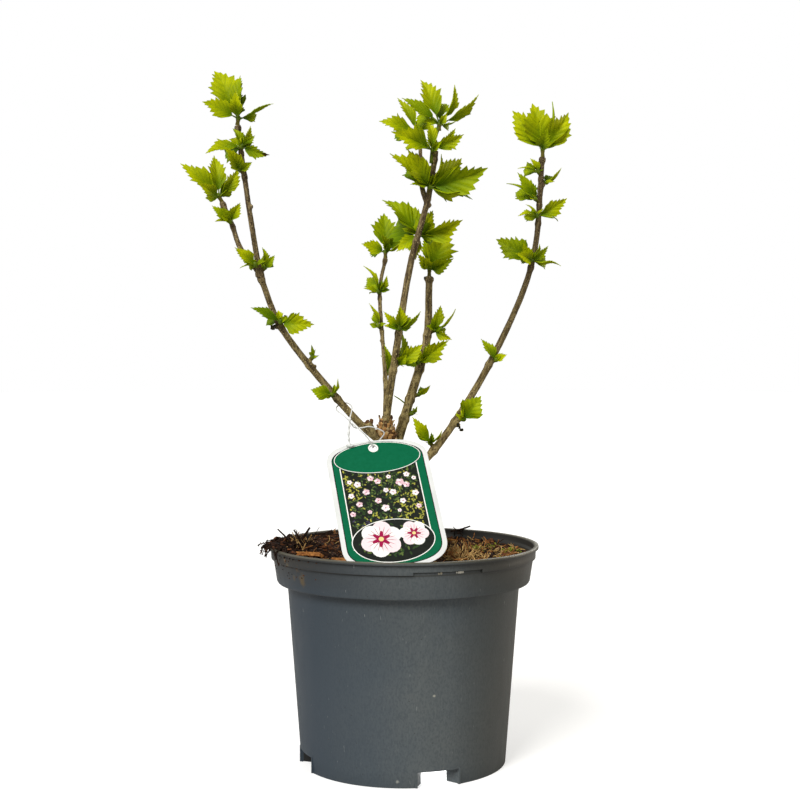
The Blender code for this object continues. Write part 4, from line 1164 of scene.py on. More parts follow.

# %% [markdown]
# Old bark is ochre-grey low down, and young bark is purple-brown above. Two patterns of patches
# could be enough, but colour and shape would not agree. So the relief's own mark paints shade in
# the grooves and a highlight on the ridges, and painted shade darkens the bark towards the right.

# %% Bark finish: ochre low down, purple-brown above, painted shade in the grooves and towards the right, painted highlight on the ridges
bark, tree, shader = open_finish("bark", Roughness=0.82, Specular_IOR_Level=0.15)
axes = add_node(tree, "ShaderNodeSeparateXYZ", {0: object_place(tree)}).outputs
raised = mark(tree, "relief")
ochre = effect(tree, patches, Scale=330, Stretch=0.35, Low=0.36, High=0.64)
purple = effect(tree, patches, Scale=330, Stretch=0.22, Low=0.36, High=0.64)
old = mix_colors(tree, ochre, (98, 82, 48), (158, 141, 92))
young = mix_colors(tree, purple, (72, 58, 42), (116, 99, 70))
tone = lay(
    tree, mix_colors(tree, ramp(tree, axes["Z"], 0.26, 0.38), old, young),
    # painted shade in the grooves
    (ramp(tree, raised, -0.02, -0.50, high=0.85), (50, 40, 26)),
    # painted highlight on the ridges
    (ramp(tree, raised, 0.10, 0.60, high=0.6), (166, 148, 104)),
    (effect(tree, patches, Scale=1000, Stretch=0.4, Low=0.52, High=0.68), (60, 48, 32)),
    (effect(tree, specks, Scale=820, Size=0.34), (186, 168, 120)),
    # painted shade: the bark darker towards the right
    (ramp(tree, axes["X"], 0.01, 0.06, high=0.35), (70, 58, 36)),
)
close_finish(tree, shader, tone, Scale=1500, Stretch=0.4, Depth=0.0006)
add_piece("trunk_and_boughs", bm, [bark], tuple(LIMBS), angle=80)

# %% [markdown]
# ## Growing the leaves
# The leaves' places come from the solids' rule, repeated here. A leaf leans further from or
# towards the viewer until it is clear of the limbs and of other shoots' leaves. Then each
# leading leaf, or every other one on a shoot of more than two, gets a shorter one behind it
# where one fits, so that the crown is as full at the back.

# %% The rule that places leaves
LEANS = (0, 8, -8, 16, -16, 24, -24, 32, -32, 40)
MOST_LEAN = 62
LEAF_TEST = ((0.34, 0.18), (0.53, 0.25), (0.64, 0.17), (0.77, 0.15))
LEAF_ARCH = 0.28
LEAF_FOLD = 0.30


def leaf_frame(leaf):
    """The leaf's directions: along it, out of its face and to its side, and its length."""
    bearing, reach, lean, roll = leaf
    along = heading(bearing, lean)
    front = Vector((0, -1, 0))
    face = (front - along * front.dot(along)).normalized()
    face.rotate(Matrix.Rotation(math.radians(roll), 3, along))
    return along, face, along.cross(face), reach * MM / math.cos(math.radians(lean))


def leaf_samples(root, leaf):
    """Points on the blade that stand for it when its distance from others is measured."""
    along, face, side, length = leaf_frame(leaf)
    narrowing = 1 - 0.4 * abs(leaf[3]) / 90

    def midrib(share):
        return root + along * (length * share) + face * (LEAF_ARCH * length * share * (1 - share))

    rows = []
    for share, half in LEAF_TEST:
        middle = midrib(share)
        out = side * (half * length * narrowing)
        lift = face * (half * length * narrowing * LEAF_FOLD)
        top = middle + face * 0.0004
        rows += [(middle - out + lift).lerp(top, k / 3) for k in range(4)]
        rows += [(middle + out + lift).lerp(top, k / 3) for k in range(3)]
    return np.array(rows + [midrib(0.92), midrib(1)])


def is_clear(samples, others, clearance):
    """Whether all samples keep their distance from other points, each less its own radius."""
    if not len(others):
        return True
    apart = np.linalg.norm(samples[:, None, :] - others[None, :, :3], axis=2) - others[None, :, 3]
    return apart.min() > clearance


print("helpers: leaf_frame, leaf_samples, is_clear")

# %% Grow
CLEAR_OF_LIMBS = 0.0008
CLEAR_OF_LEAVES = 0.0030
REAR_LEAF = 0.62
REAR_LEAN = -52

limb_rows = []
for name in LIMBS:
    route = limb_route(name)
    radii = limb_radii(name, route)
    for a, b, low, high in zip(route, route[1:], radii, radii[1:]):
        for k in range(6):
            limb_rows.append((*a.lerp(b, k / 6), low + (high - low) * k / 6))
limb_rows = np.array(limb_rows)
roots = {}
grown_leaves = {name: [] for name, *_ in SHOOTS}
taken = {name: np.empty((0, 4)) for name, *_ in SHOOTS}


def place_leaf(name, leaf):
    """Grows a leaf at the first lean that is clear of limbs and of other shoots, if there is one."""
    bearing, reach, own_lean, roll = leaf
    others = np.concatenate([rows for key, rows in taken.items() if key != name])
    for lean in LEANS:
        tried = (bearing, reach, own_lean + lean, roll)
        if abs(tried[2]) > MOST_LEAN:
            continue
        samples = leaf_samples(roots[name], tried)
        if is_clear(samples, limb_rows, CLEAR_OF_LIMBS) and is_clear(samples, others, CLEAR_OF_LEAVES):
            grown_leaves[name].append(tried)
            taken[name] = np.concatenate((taken[name], np.column_stack((samples, np.zeros(len(samples))))))
            return


draw = random.Random(11)
for name, limb, height, (bearing, lean, length), _ in SHOOTS:
    roots[name] = point_on_limb(limb, height) + heading(bearing, lean) * (length * MM)
for name, _, _, _, leaves in SHOOTS:
    for leaf in leaves:
        place_leaf(name, leaf)
for name, _, _, _, leaves in SHOOTS:
    for bearing, reach, _, _ in leaves[:: 2 if len(leaves) > 2 else 1]:
        turned = bearing + draw.uniform(-12, 12)
        lean = REAR_LEAN + draw.uniform(-10, 10)
        place_leaf(name, (turned, reach * REAR_LEAF, lean, draw.uniform(-35, 35)))
print("leaves grown:", sum(len(leaves) for leaves in grown_leaves.values()))

# %% [markdown]
# ## One leaf
# A leaf is a smooth wedge at its stalk, then has two side lobes and a long middle one, edged
# with coarse forward-pointing teeth. Veins fan out from the stalk to the lobes and teeth, and
# the blade is quilted between them. So the blank is a grid whose rows fan out like the veins:
# each runs from the midrib to a tooth's point or to a notch. Solidify gives it an underside.

# %% The leaf's blank
# Half the outline: out from the midrib, up from the stalk, where its row leaves the midrib, and
# whether it is a tooth's point
LEAF_EDGE = (
    (0.022, 0.000, 0.000, 0), (0.118, 0.075, 0.012, 0), (0.218, 0.180, 0.028, 0), (0.300, 0.290, 0.048, 0),
    (0.362, 0.405, 0.070, 1), (0.296, 0.425, 0.100, 0), (0.392, 0.575, 0.130, 1), (0.252, 0.552, 0.215, 0),
    (0.276, 0.690, 0.310, 1), (0.166, 0.668, 0.400, 0), (0.196, 0.805, 0.500, 1), (0.104, 0.782, 0.600, 0),
    (0.106, 0.902, 0.700, 1), (0.046, 0.894, 0.800, 0), (0.004, 1.000, 1.000, 0),
)
LEAF_ROWS = 2 * (len(LEAF_EDGE) - 1)
LEAF_COLUMNS = 8

bm = bmesh.new()
bmesh.ops.create_grid(bm, x_segments=LEAF_COLUMNS, y_segments=LEAF_ROWS, size=1.0)
bmesh.ops.solidify(bm, geom=bm.faces[:], thickness=0.1)
bmesh.ops.recalc_face_normals(bm, faces=bm.faces)
blank, LEAF_FACES = read_shape(bm)
LEAF_ACROSS, LEAF_ALONG, levels = blank.T
LEAF_ROW = (LEAF_ALONG + 1) / 2 * LEAF_ROWS
LEAF_TOP = (levels > levels.mean()).astype(float)
print("leaf blank:", len(blank), "points,", len(LEAF_FACES), "faces, rows", LEAF_ROW.min(), LEAF_ROW.max())

# %% Bend a blank into a leaf
LEAF_THICKNESS = 0.00028
edge_rows = np.arange(len(LEAF_EDGE)) * 2
edge_out, edge_up, edge_rib, edge_tooth = np.array(LEAF_EDGE).T
edge_plain = np.convolve(np.pad(edge_out, 1, mode="edge"), (0.25, 0.5, 0.25), mode="valid")


def fan_out(width, toothed, draw):
    """The flat blade, half by half: places across and along it, and how far each lies on a vein."""
    x, y, veins = np.zeros((3, len(blank)))
    for half in (-1, 1):
        jitter = np.array([draw.uniform(0.78, 1.20) for _ in edge_out])
        out = (edge_plain + (edge_out - edge_plain) * toothed) * (1 + (jitter - 1) * toothed) * width
        up = edge_up + np.array([draw.uniform(-0.020, 0.020) for _ in edge_up]) * toothed
        up[0], up[-1] = 0, 1
        mine = LEAF_ACROSS * half >= 0
        share = np.abs(LEAF_ACROSS[mine])
        reach_out, reach_up, on_rib, tooth = (
            np.interp(LEAF_ROW[mine], edge_rows, values) for values in (out, up, edge_rib, edge_tooth)
        )
        x[mine] = half * share * reach_out
        y[mine] = on_rib + share * (reach_up - on_rib)
        veins[mine] = np.maximum(share < 0.01, tooth)
    return x, y, veins


def shape_leaf(root, leaf, width, start, draw, fold, curl, teeth):
    """The leaf's points, and marks that tell its veins and how far out each point is."""
    along, face, side, length = leaf_frame(leaf)
    width *= 1 - 0.35 * abs(leaf[3]) / 90
    x, y, veins = fan_out(width, min(1.0, 0.25 + length / 0.032) * teeth, draw)
    blade = 1 - start
    usual = draw.uniform(0.35, 0.95), draw.uniform(-0.25, 0.50)
    fold = usual[0] if fold is None else fold
    curl = usual[1] if curl is None else curl
    wave = draw.uniform(0.030, 0.075)
    sway = draw.uniform(-0.07, 0.07)
    phase = draw.uniform(0, 6)
    z = fold * np.abs(x) * (1 - 0.35 * y)
    z += LEAF_ARCH * (start + blade * y) * (1 - start - blade * y) / blade - curl * np.maximum(0, y - 0.45) ** 2
    z += wave * np.sin(8 * y + phase) * np.abs(x) / 0.3
    x = x + sway * np.sin(2.4 * y) * y
    quilt = np.where(np.abs(x) > 0.01, 1 - veins, 0) * np.minimum(1, np.abs(x) / 0.1) * 0.022
    z += quilt - (1 - LEAF_TOP) * LEAF_THICKNESS / (length * blade)
    twist = draw.uniform(-0.35, 0.35) * y
    turned_x = x * np.cos(twist) - z * np.sin(twist) * 0.5
    turned_z = z * np.cos(twist) + x * np.sin(twist)
    scale = length * blade
    base = np.array(root) + np.array(along) * (length * start)
    world = base + np.outer(turned_x * scale, side) + np.outer(y * scale, along) + np.outer(turned_z * scale, face)
    return world, {"vein": veins, "reach": np.clip(y, 0, 1), "margin": np.abs(LEAF_ACROSS)}


print("helpers: fan_out, shape_leaf")

# %% [markdown]
# Each leaf hangs on a green stalk, and a pair of narrow stipules stands at a shoot's foot.
# Between the open leaves are small folded ones, still unfurling. Stalks are thin tubes, made
# like the twigs. The leaves' tones are dealt out leaf by leaf as plain base colours.

# %% Leaves that differ from the usual: width, fold and curl of the blade
SHAPES = {
    ("left_inner_tip", 0): (1.05, 0.4, 0.1), ("left_inner_tip", 1): (0.95, 0.5, 0.1),
    ("left_inner_tip", 3): (0.45, 0.3, -0.9), ("left_inner_tip", 4): (0.55, 0.4, 0.1),
    ("left_outer_tip", 0): (0.70, 0.6, 0.2), ("left_outer_tip", 1): (0.72, 0.5, 0.1),
    ("left_outer_tip", 2): (0.85, 0.6, 0.1), ("left_low_pair", 0): (0.62, 0.5, 0.1),
    ("left_low_pair", 1): (0.95, 0.4, 0.2), ("left_low_bud", 0): (0.50, 0.6, 0.0),
    ("left_foot_pair", 0): (1.15, 0.3, 0.1), ("left_foot_pair", 1): (0.6, 0.6, 0.1), ("slim_tip", 0): (1.0, 0.4, 0.1),
    ("slim_tip", 1): (1.1, 0.4, 0.0), ("slim_tip", 2): (0.9, 0.5, 0.1), ("slim_high", 0): (0.45, 0.8, 0.3),
    ("slim_high", 1): (0.6, 0.5, 0.1), ("slim_low", 0): (0.6, 0.5, 0.1), ("slim_mid", 0): (0.5, 0.5, 0.1),
    ("stout_tip", 0): (1.1, 0.4, 0.0), ("stout_right", 0): (0.75, 0.6, 0.2), ("stout_right", 1): (0.45, 0.4, 0.2),
    ("stout_low", 0): (0.65, 0.5, 0.1), ("tall_tip", 0): (0.60, 0.5, 0.1), ("tall_tip", 1): (0.85, 0.5, 0.1),
    ("tall_tip", 2): (0.72, 0.7, 0.2), ("tall_tip", 3): (0.62, 0.6, 0.2), ("tall_tip", 4): (0.35, 0.6, 0.1),
    ("tall_mid", 0): (0.55, 0.5, 0.1), ("tall_mid", 2): (0.6, 0.6, 0.1), ("tall_left_tip", 0): (0.75, 0.5, 0.2),
    ("tall_left_tip", 1): (0.55, 0.6, 0.1), ("right_foot", 0): (0.62, 0.5, 0.1), ("right_foot", 1): (0.4, 0.6, 0.1),
    ("right_low", 0): (1.35, 0.35, 0.1), ("right_tip", 0): (0.90, 0.35, 0.0), ("right_tip", 1): (1.15, 0.35, 0.0),
    ("right_tip", 2): (1.0, 0.5, 0.1), ("right_tip", 3): (0.5, 0.5, 0.1), ("right_tip", 4): (0.35, 0.8, 0.0),
    ("right_high", 0): (1.0, 0.35, 0.1), ("right_high", 2): (0.5, 0.6, -1.2), ("right_mid", 0): (0.75, 0.5, 0.1),
    ("right_left", 0): (0.6, 0.6, 0.2), ("right_left", 1): (0.35, 0.7, 0.2), ("right_upper", 1): (0.6, 0.5, 0.2),
    ("right_near_tip", 0): (0.45, 0.6, 0.2), ("right_side", 0): (0.45, 0.6, 0.1),
}
DEEPER = {
    ("left_low_pair", 0): 2, ("right_low", 0): 1, ("right_high", 0): 1, ("tall_back", 0): 1,
    ("right_tip", 0): 0, ("right_tip", 1): 0, ("tall_tip", 2): 0, ("slim_high", 0): 0,
}
WITHERED = {("left_inner_high", 3): 0.84}
USUAL_TEETH = 0.75
SMOOTHER = {
    ("left_foot_pair", 0): 0.0, ("left_foot_pair", 1): 0.2, ("stout_low", 0): 0.0, ("right_low", 0): 0.35,
    ("right_low", 1): 0.3, ("right_foot", 0): 0.55, ("right_tip", 0): 0.6, ("right_tip", 2): 0.6,
    ("right_tip", 3): 0.2, ("right_tip", 4): 0.2, ("slim_high", 2): 0.3, ("left_low_bud", 0): 0.2,
    ("left_low_pair", 0): 0.6, ("stout_right", 1): 0.2, ("right_left", 0): 0.5, ("right_left", 1): 0.3,
    ("right_mid", 0): 0.5, ("right_side", 0): 0.3, ("slim_mid", 0): 0.4, ("tall_mid", 2): 0.5,
    ("left_inner_tip", 3): 0.3, ("left_outer_tip", 3): 0.4, ("tall_tip", 4): 0.2, ("right_high", 2): 0.2,
}
STALK_SHARE = 0.11
LONG_STALKED = {
    "tall_tip": 0.20, "tall_high": 0.17, "left_inner_tip": 0.19, "left_outer_tip": 0.16, "slim_tip": 0.16,
    "tall_left_tip": 0.18,
}
FEWER_FILLERS = (
    "tall_left_tip", "tall_tip", "left_inner_tip", "slim_tip", "right_tip", "left_foot_pair", "right_foot",
    "right_low",
)
print("leaves with a shape of their own:", len(SHAPES))

# %% Add a leaf on its stalk
DEFAULT_WIDTH = 0.86
LIME, FRESH, DEEP, UNDER, WITHERED_END = range(5)
GREEN_STALK, BROWN_SPUR, DRIED_BUD = range(3)
STALK_RADII = (0.00075, 0.00062, 0.00052, 0.00046, 0.00036)

draw = random.Random(23)
leaf_copies = {"left": [], "middle": [], "right": []}
stem_copies = []


def side_of(limb):
    return "left" if limb.startswith("left") else "right" if limb.startswith("right") else "middle"


def add_stem(points, radii, sides, finish=GREEN_STALK):
    stem_copies.append((*stalk(points, radii, sides), finish))


def tones_of(tone, withered_from=2.0):
    """The finish number of each of the blank's faces: top, pale underside, or a withered end."""
    numbers = []
    for face in LEAF_FACES:
        top = sum(LEAF_TOP[corner] for corner in face) / len(face)
        out = sum(LEAF_ROW[corner] for corner in face) / len(face) / LEAF_ROWS
        numbers.append(WITHERED_END if out > withered_from else tone if top > 0.4 else UNDER)
    return numbers


TONES = [tones_of(tone) for tone in (LIME, FRESH, DEEP)]


def add_leaf(name, limb, leaf, width, tone, fold=None, curl=None, withered_from=None, teeth=1.0):
    root = roots[name]
    along, face, side, length = leaf_frame(leaf)
    start = 0.06 if length < 0.012 else LONG_STALKED.get(name, STALK_SHARE)
    world, marks = shape_leaf(root, leaf, width, start, draw, fold, curl, teeth)
    numbers = tones_of(tone, withered_from) if withered_from else TONES[tone]
    leaf_copies[side_of(limb)].append((world, LEAF_FACES, numbers, marks))
    seat = root + along * (length * (start + 0.02)) + face * (LEAF_ARCH * length * start * 0.8)
    add_stem(arc(root - along * 0.0006, seat, face * 0.0004, 5), STALK_RADII, 6)


print("faces with a withered end:", tones_of(LIME, 0.84).count(WITHERED_END), "of", len(LEAF_FACES))

# %% Build every shoot
def bow_up(height):
    return Vector((0, 0, height))


for name, limb, height, (bearing, lean, length), leaves in SHOOTS:
    root = roots[name]
    spur = arc(point_on_limb(limb, height), root, bow_up(0.0004), 5)
    add_stem(spur, (0.0016, 0.0014, 0.0013, 0.0016, 0.0012), 8, BROWN_SPUR)
    heart = heading(bearing * 0.5, lean * 0.5)
    bud = [root - heart * 0.0012, root, root + heart * 0.0014, root + heart * 0.003]
    add_stem(bud, (0.0009, 0.0018, 0.0016, 0.0004), 8)
    for number, leaf in enumerate(grown_leaves[name]):
        usual = DEFAULT_WIDTH * draw.uniform(0.88, 1.08), None, None
        tone = draw.choice((LIME, LIME, FRESH)) if number < len(leaves) else draw.choice((FRESH, DEEP))
        key = (name, number)
        tone = DEEPER.get(key, tone)
        width, fold, curl = SHAPES.get(key, usual)
        add_leaf(name, limb, leaf, width, tone, fold, curl, WITHERED.get(key), SMOOTHER.get(key, USUAL_TEETH))
    longest = max(leaf[1] for leaf in leaves)
    for _ in range(2 if name in FEWER_FILLERS else 1 + len(leaves)):
        reach = min(draw.uniform(0.26, 0.46) * longest, 13)
        turned = bearing * 0.4 + draw.uniform(-85, 85)
        filler = (turned, reach, draw.uniform(-50, 50), draw.uniform(-55, 55))
        add_leaf(name, limb, filler, draw.uniform(0.7, 1.0), draw.choice((LIME, FRESH, FRESH, DEEP)))
    if name == "tall_tip":
        low = point_on_limb(limb, 416) + Vector((-0.002, -0.0012, 0))
        add_stem(arc(low, root, Vector((-0.0012, 0, 0)), 9), [0.0013] * 6 + [0.0012, 0.0014, 0.0012], 8)
    if name == "stout_foot":
        low = point_on_limb(limb, 249)
        twig = arc(low, low + Vector((-0.0100, -0.0020, 0.0075)), bow_up(0.0005), 5)
        add_stem(twig, (0.0007, 0.0006, 0.0005, 0.0005, 0.0003), 6)
    for _ in range(2):
        way = heading(bearing + draw.uniform(-75, 75), draw.uniform(-10, 50))
        stipule = arc(root, root + way * draw.uniform(0.0025, 0.0050), bow_up(0.0003), 4)
        add_stem(stipule, (0.0004, 0.00035, 0.00025, 0.0001), 5)
print("leaves:", {key: len(value) for key, value in leaf_copies.items()}, "stems:", len(stem_copies))

# %% [markdown]
# Here and there a bud has dried to a dark crumb. A crumb of the chip's blank does for it, as it
# is smaller than two millimetres and only its dark spot on the bark is seen.

# %% Dark dried buds
DRIED = (
    ("left_bough", 306, (-5.2, -2.6, -1.5)), ("left_bough", 306, (-3.6, -3.0, -0.5)),
    ("left_bough", 306, (2.2, -3.0, 5.0)), ("left_bough", 306, (0.6, -3.2, 4.0)),
    ("left_bough", 306, (3.6, -2.6, 6.0)), ("right_bough", 235, (5.2, -2.0, -1.5)),
    ("right_bough", 235, (6.6, -2.2, -3.0)), ("right_bough", 235, (4.0, -1.6, 0.5)),
    ("stout_bough", 340, (-2.6, -1.0, 1.5)),
)
draw_bud = np.random.default_rng(4)
for limb, height, offset in DRIED:
    points = crumb(draw_bud, draw_bud.uniform(1.5, 2.8, 3), 0.3) * MM
    stem_copies.append((points + np.array(point_on_limb(limb, height) + Vector(offset) * MM), CHIP[1], DRIED_BUD))
print("dried buds:", len(DRIED))

# %% [markdown]
# Young leaves are lime green, deeper at the stalk, with darker veins and a paler underside. The
# deeper green at the stalk is partly the leaf's own colour and partly painted shade. An image
# could show that, but it would blur from near. Here each leaf carries marks from its own blank,
# which tell how far out a point is, how near the margin and whether it is on a vein, and the
# material mixes its tones by them.

# %% Leaf finishes: name, then the tone at the stalk, the tone of the blade, and the veins
LEAF_TONES = (
    ("lime_leaf", (78, 112, 2), (182, 188, 2), (88, 114, 3)),
    ("fresh_leaf", (64, 98, 2), (156, 170, 2), (70, 100, 3)),
    ("deep_leaf", (54, 84, 2), (116, 140, 2), (52, 78, 3)),
    ("leaf_underside", (92, 122, 8), (146, 164, 14), (116, 138, 18)),
    ("withered_leaf", (46, 34, 16), (70, 50, 24), (36, 26, 14)),
)


def leaf_finish(name, deep, fresh, vein):
    """A blade that is deeper green at its stalk, partly its own colour and partly painted shade, with darker veins
    drawn by the leaf's own marks.
    """
    made, tree, shader = open_finish(name, Roughness=0.46, Specular_IOR_Level=0.06)
    shader.inputs["Subsurface Weight"].default_value = 0.06
    shader.inputs["Subsurface Radius"].default_value = (0.0012, 0.0012, 0.0002)
    tone = lay(
        # deeper green at the stalk: partly the leaf's own colour, partly painted shade
        tree, mix_colors(tree, ramp(tree, mark(tree, "reach"), 0.0, 0.65), deep, fresh),
        (ramp(tree, mark(tree, "margin"), 0.45, 1.0, high=0.7), fresh),
        (times(tree, effect(tree, patches, Scale=120, Low=0.35, High=0.75), 0.45), deep),
        (times(tree, calc(tree, "POWER", mark(tree, "vein"), 4.0), 0.42), vein),
        (times(tree, effect(tree, patches, Scale=1400, Low=0.55, High=0.75), 0.25), vein),
    )
    close_finish(tree, shader, tone, Scale=900, Depth=0.0003)
    return made


leaf_finishes = [leaf_finish(*row) for row in LEAF_TONES]
for key, copies in leaf_copies.items():
    nodes = tuple("shoot_" + row[0] for row in SHOOTS if side_of(row[1]) == key)
    add_heap("leaves_" + key, copies, leaf_finishes, nodes, angle=70, marks=("vein", "reach", "margin"))

# %% Stalk and spur finishes
stem_finishes = [
    two_tone("stalk_green", (62, 84, 10), (104, 122, 18), 300, Roughness=0.5, Specular_IOR_Level=0.15),
    two_tone("spur_brown", (74, 66, 26), (104, 98, 34), 500, Roughness=0.75, Specular_IOR_Level=0.15),
    chip_finish("dried_bud", (24, 24, 16), (50, 46, 30)),
]
add_heap("stalks_and_spurs", stem_copies, stem_finishes, angle=60)

# %% [markdown]
# ## The crown's scales
# Where the boughs leave the trunk, the old wood is a rough golden-brown knuckle of split bark
# scales. Each scale is a copy of the chip's blank, flattened and stood on the wood.

# %% Scales
SCALE_ROWS = 7
CROWN = (-12.3, 1.5, 225.5)
STUB_SCALES = ((-22.5, -6.5, 238.8, 4.6, -10), (-24.8, -8.0, 238.5, 4.2, 12), (-26.0, -6.5, 237.5, 3.6, 25))
scales = []
draw_scale = np.random.default_rng(9)
for row in range(SCALE_ROWS):
    rise = row / (SCALE_ROWS - 1)
    radius = 6.6 - 2.4 * rise
    for k in range(15 - row):
        angle = 2 * math.pi * (k + 0.5 * (row % 2) + draw_scale.uniform(-0.2, 0.2)) / (15 - row)
        x, y = polar(radius * draw_scale.uniform(0.92, 1.12), angle)
        place = (CROWN[0] + x, CROWN[1] + y, CROWN[2] + 15.5 * rise + draw_scale.uniform(-1, 1))
        long = draw_scale.uniform(3.2, 5.6) * (1 - 0.25 * rise)
        points = crumb(draw_scale, (long * 0.62, long * 0.24, long), 0.28)
        turn = Matrix.Rotation(angle - math.pi / 2, 3, "Z")
        turn = turn @ Matrix.Rotation(draw_scale.normal(-0.32, 0.22), 3, "X")
        turn = turn @ Matrix.Rotation(draw_scale.normal(0, 0.45), 3, "Y")
        scales.append((set_down(points, turn, place), CHIP[1], choose(draw_scale, 0.5, 0.2, 0.3)))
for x, y, z, long, lean in STUB_SCALES:
    points = crumb(draw_scale, (long * 0.62, long * 0.5, long), 0.2)
    scales.append((set_down(points, Matrix.Rotation(math.radians(-lean), 3, "Y"), (x, y, z)), CHIP[1], 2))
scale_finishes = [
    chip_finish("golden_scale", (122, 84, 46), (188, 146, 90), 0.8),
    chip_finish("pale_scale", (146, 118, 78), (198, 172, 124), 0.8),
    chip_finish("dark_scale", (74, 50, 32), (112, 80, 50), 0.8),
]
add_heap("crown_scales", scales, scale_finishes, angle=30)

# %% [markdown]
# ## The label
# The card is glossy white plastic, 0.6 mm thick, with a rounded top and foot and a punched
# hole. Its print is a green frame with a thin key line, a header field, a garden picture and
# an oval inset. An image could carry the print, but its edges would blur from near. So each
# field of print is a thin layer a few hundredths of a millimetre proud, with a crisp edge and a
# plain colour.

# %% The card's place and outline
CARD_HALF = 35.0
CARD_MIDDLE = 1.5
CARD_THICKNESS = 0.6
CARD_PLACE = Matrix.Translation((-0.021, -0.0175, 0.2210))
for degrees, axis in ((4.0, "Z"), (90 - 41.5, "X"), (7.0, "Z")):
    CARD_PLACE @= Matrix.Rotation(math.radians(degrees), 4, axis)


def card_outline(inset=0.0, steps=28):
    """The card's outline in mm about the hole, or a line that runs inside it."""
    half = CARD_HALF - inset
    outline = []
    for base, rise in ((-10, 16.5 - inset), (-80, inset - 20.0)):
        for k in range(steps + 1):
            a = math.pi * (k / steps if rise > 0 else 1 - k / steps)
            across = math.copysign(abs(math.cos(a)) ** 0.8, math.cos(a))
            outline.append((CARD_MIDDLE + half * across, base + rise * math.sin(a) ** 0.8))
    return outline


print("card outline points:", len(card_outline()))

# %% Card with its hole
HOLE = 2.2


def slab(bm, outline, low, high, finish):
    """Adds a flat field of print to the bmesh, in mm on the card's plane."""
    face, upper = raise_block(bm, outline, low, high)
    for item in {face, *(side for vert in upper for side in vert.link_faces)}:
        item.material_index = finish


bm = bmesh.new()
slab(bm, card_outline(), 0, CARD_THICKNESS, 0)
bmesh.ops.recalc_face_normals(bm, faces=bm.faces)
bmesh.ops.transform(bm, matrix=CARD_PLACE, verts=bm.verts)
card_blank = stand("card_blank", bm)
bm = bmesh.new()
bmesh.ops.create_cone(
    bm, cap_ends=True, segments=40, radius1=HOLE * MM, radius2=HOLE * MM, depth=0.01, matrix=CARD_PLACE
)
punch = stand("punch", bm)
combine(card_blank, "DIFFERENCE", [punch])
punched = take_mesh(card_blank, punch)
punched.materials.clear()
card_white = two_tone("card_white", (226, 227, 226), (211, 213, 212), 60, (0.35, 0.7), Roughness=0.28)
dress(punched, "label_card", [card_white], ("label",), 40)

# %% Inks, and the shapes of the print's fields, petals and leaves
PRINT = {
    "green": (0, 93, 60), "black": (16, 20, 18), "white": (238, 238, 234), "shade": (26, 30, 26),
    "leafy": (44, 66, 34), "mossy": (86, 104, 52), "sunny": (158, 156, 62), "dusk": (62, 56, 78),
    "petal": (236, 216, 220), "blush": (218, 182, 192), "crimson": (150, 18, 66), "cream": (226, 208, 140),
}
GREEN, BLACK, WHITE, SHADE, LEAFY, MOSSY, SUNNY, DUSK, PETAL, BLUSH, CRIMSON, CREAM = range(len(PRINT))
INK_LAYER = 0.012


def oval(cx, cy, rx, ry, steps):
    """An outline round a middle, with a half width and a half height in mm."""
    turns = [2 * math.pi * k / steps for k in range(steps)]
    return [(cx + rx * math.cos(turn), cy + ry * math.sin(turn)) for turn in turns]


def on_card(outline, level, finish):
    """Lays a field of print on the card, some ink layers up."""
    slab(bm, outline, CARD_THICKNESS + INK_LAYER * level, CARD_THICKNESS + INK_LAYER * (level + 1), finish)


def bitten(outline, level, finish, clear):
    """Lays a field round the hole as two halves, each with a half round bite."""
    for side in (-1, 1):
        half = [(x, y) for x, y in outline if x * side > 0.01]
        crossings = []
        for (ax, ay), (bx, by) in zip(outline, [*outline[1:], outline[0]]):
            if (ax > 0.01) != (bx > 0.01):
                crossings.append(ay + (by - ay) * (0 - ax) / (bx - ax))
        top, foot = max(crossings), min(crossings)
        half.sort(key=lambda point: math.atan2(point[0] * side, point[1] + 1))
        bite = [(side * clear * math.sin(a), clear * math.cos(a)) for a in np.linspace(math.pi, 0, 17)]
        on_card([(0, top), *half, (0, foot), *bite], level, finish)


def spray(x, y, turn, length, width, sides):
    """A narrow oval at a place on the card, for a leaf or a petal."""
    shape = []
    for u, v in oval(0, 0, 0.5 * length, 0.5 * width, sides):
        shape.append((x + u * math.cos(turn) - v * math.sin(turn), y + u * math.sin(turn) + v * math.cos(turn)))
    return shape


def petals(x, y, size, count, spin, level, finishes, slender=0.75, start=0.0, sides=12):
    """A ring of ovals round a flower's middle. They may start some way out from it."""
    for k in range(count):
        a = spin + 2 * math.pi * k / count
        out, up = polar(0.5 * size * (1 + start), a)
        shape = spray(x + out, y + up, a, size * (1 - start) * 1.1, size * slender, sides)
        on_card(shape, level + 0.5 * k / count, finishes[k % len(finishes)])


print("inks:", len(PRINT))

# %% Frame, and the garden picture between the header and the foot
LEFT, RIGHT, TOP, FOOT = -25.0, 27.0, -10.0, -82.0
BORDER = 0.7
BLOSSOMS = (
    (-20.5, -27, 2.0), (-15.5, -29.5, 2.4), (-6, -25.5, 1.9), (-1.5, -28.5, 2.5), (6.5, -25.5, 1.8), (19, -25, 2.2),
    (23.5, -28.5, 1.8), (13.5, -31, 2.6), (17.5, -33.5, 2.1), (-10.5, -36.5, 2.5), (-21, -38.5, 2.2), (3, -36.5, 2.2),
    (7.5, -38.5, 2.5), (22.5, -41, 2.3), (-16.5, -46, 2.5), (-3.5, -44.5, 2.0), (13, -46.5, 2.0), (0.5, -51, 2.4),
    (-22, -53.5, 2.0), (23, -52, 1.9), (-10.5, -53, 1.8), (9.5, -54, 1.6),
)
art = random.Random(31)
bm = bmesh.new()
bitten(card_outline(3.2), 0, BLACK, 2.6)
bitten(card_outline(3.8), 1, GREEN, 2.6)
for grow, level, finish in ((BORDER, 2, WHITE), (0, 3, SHADE)):
    left, right = LEFT - grow, RIGHT + grow
    on_card(((left, TOP), (right, TOP), (right, FOOT), (left, FOOT)), level, finish)
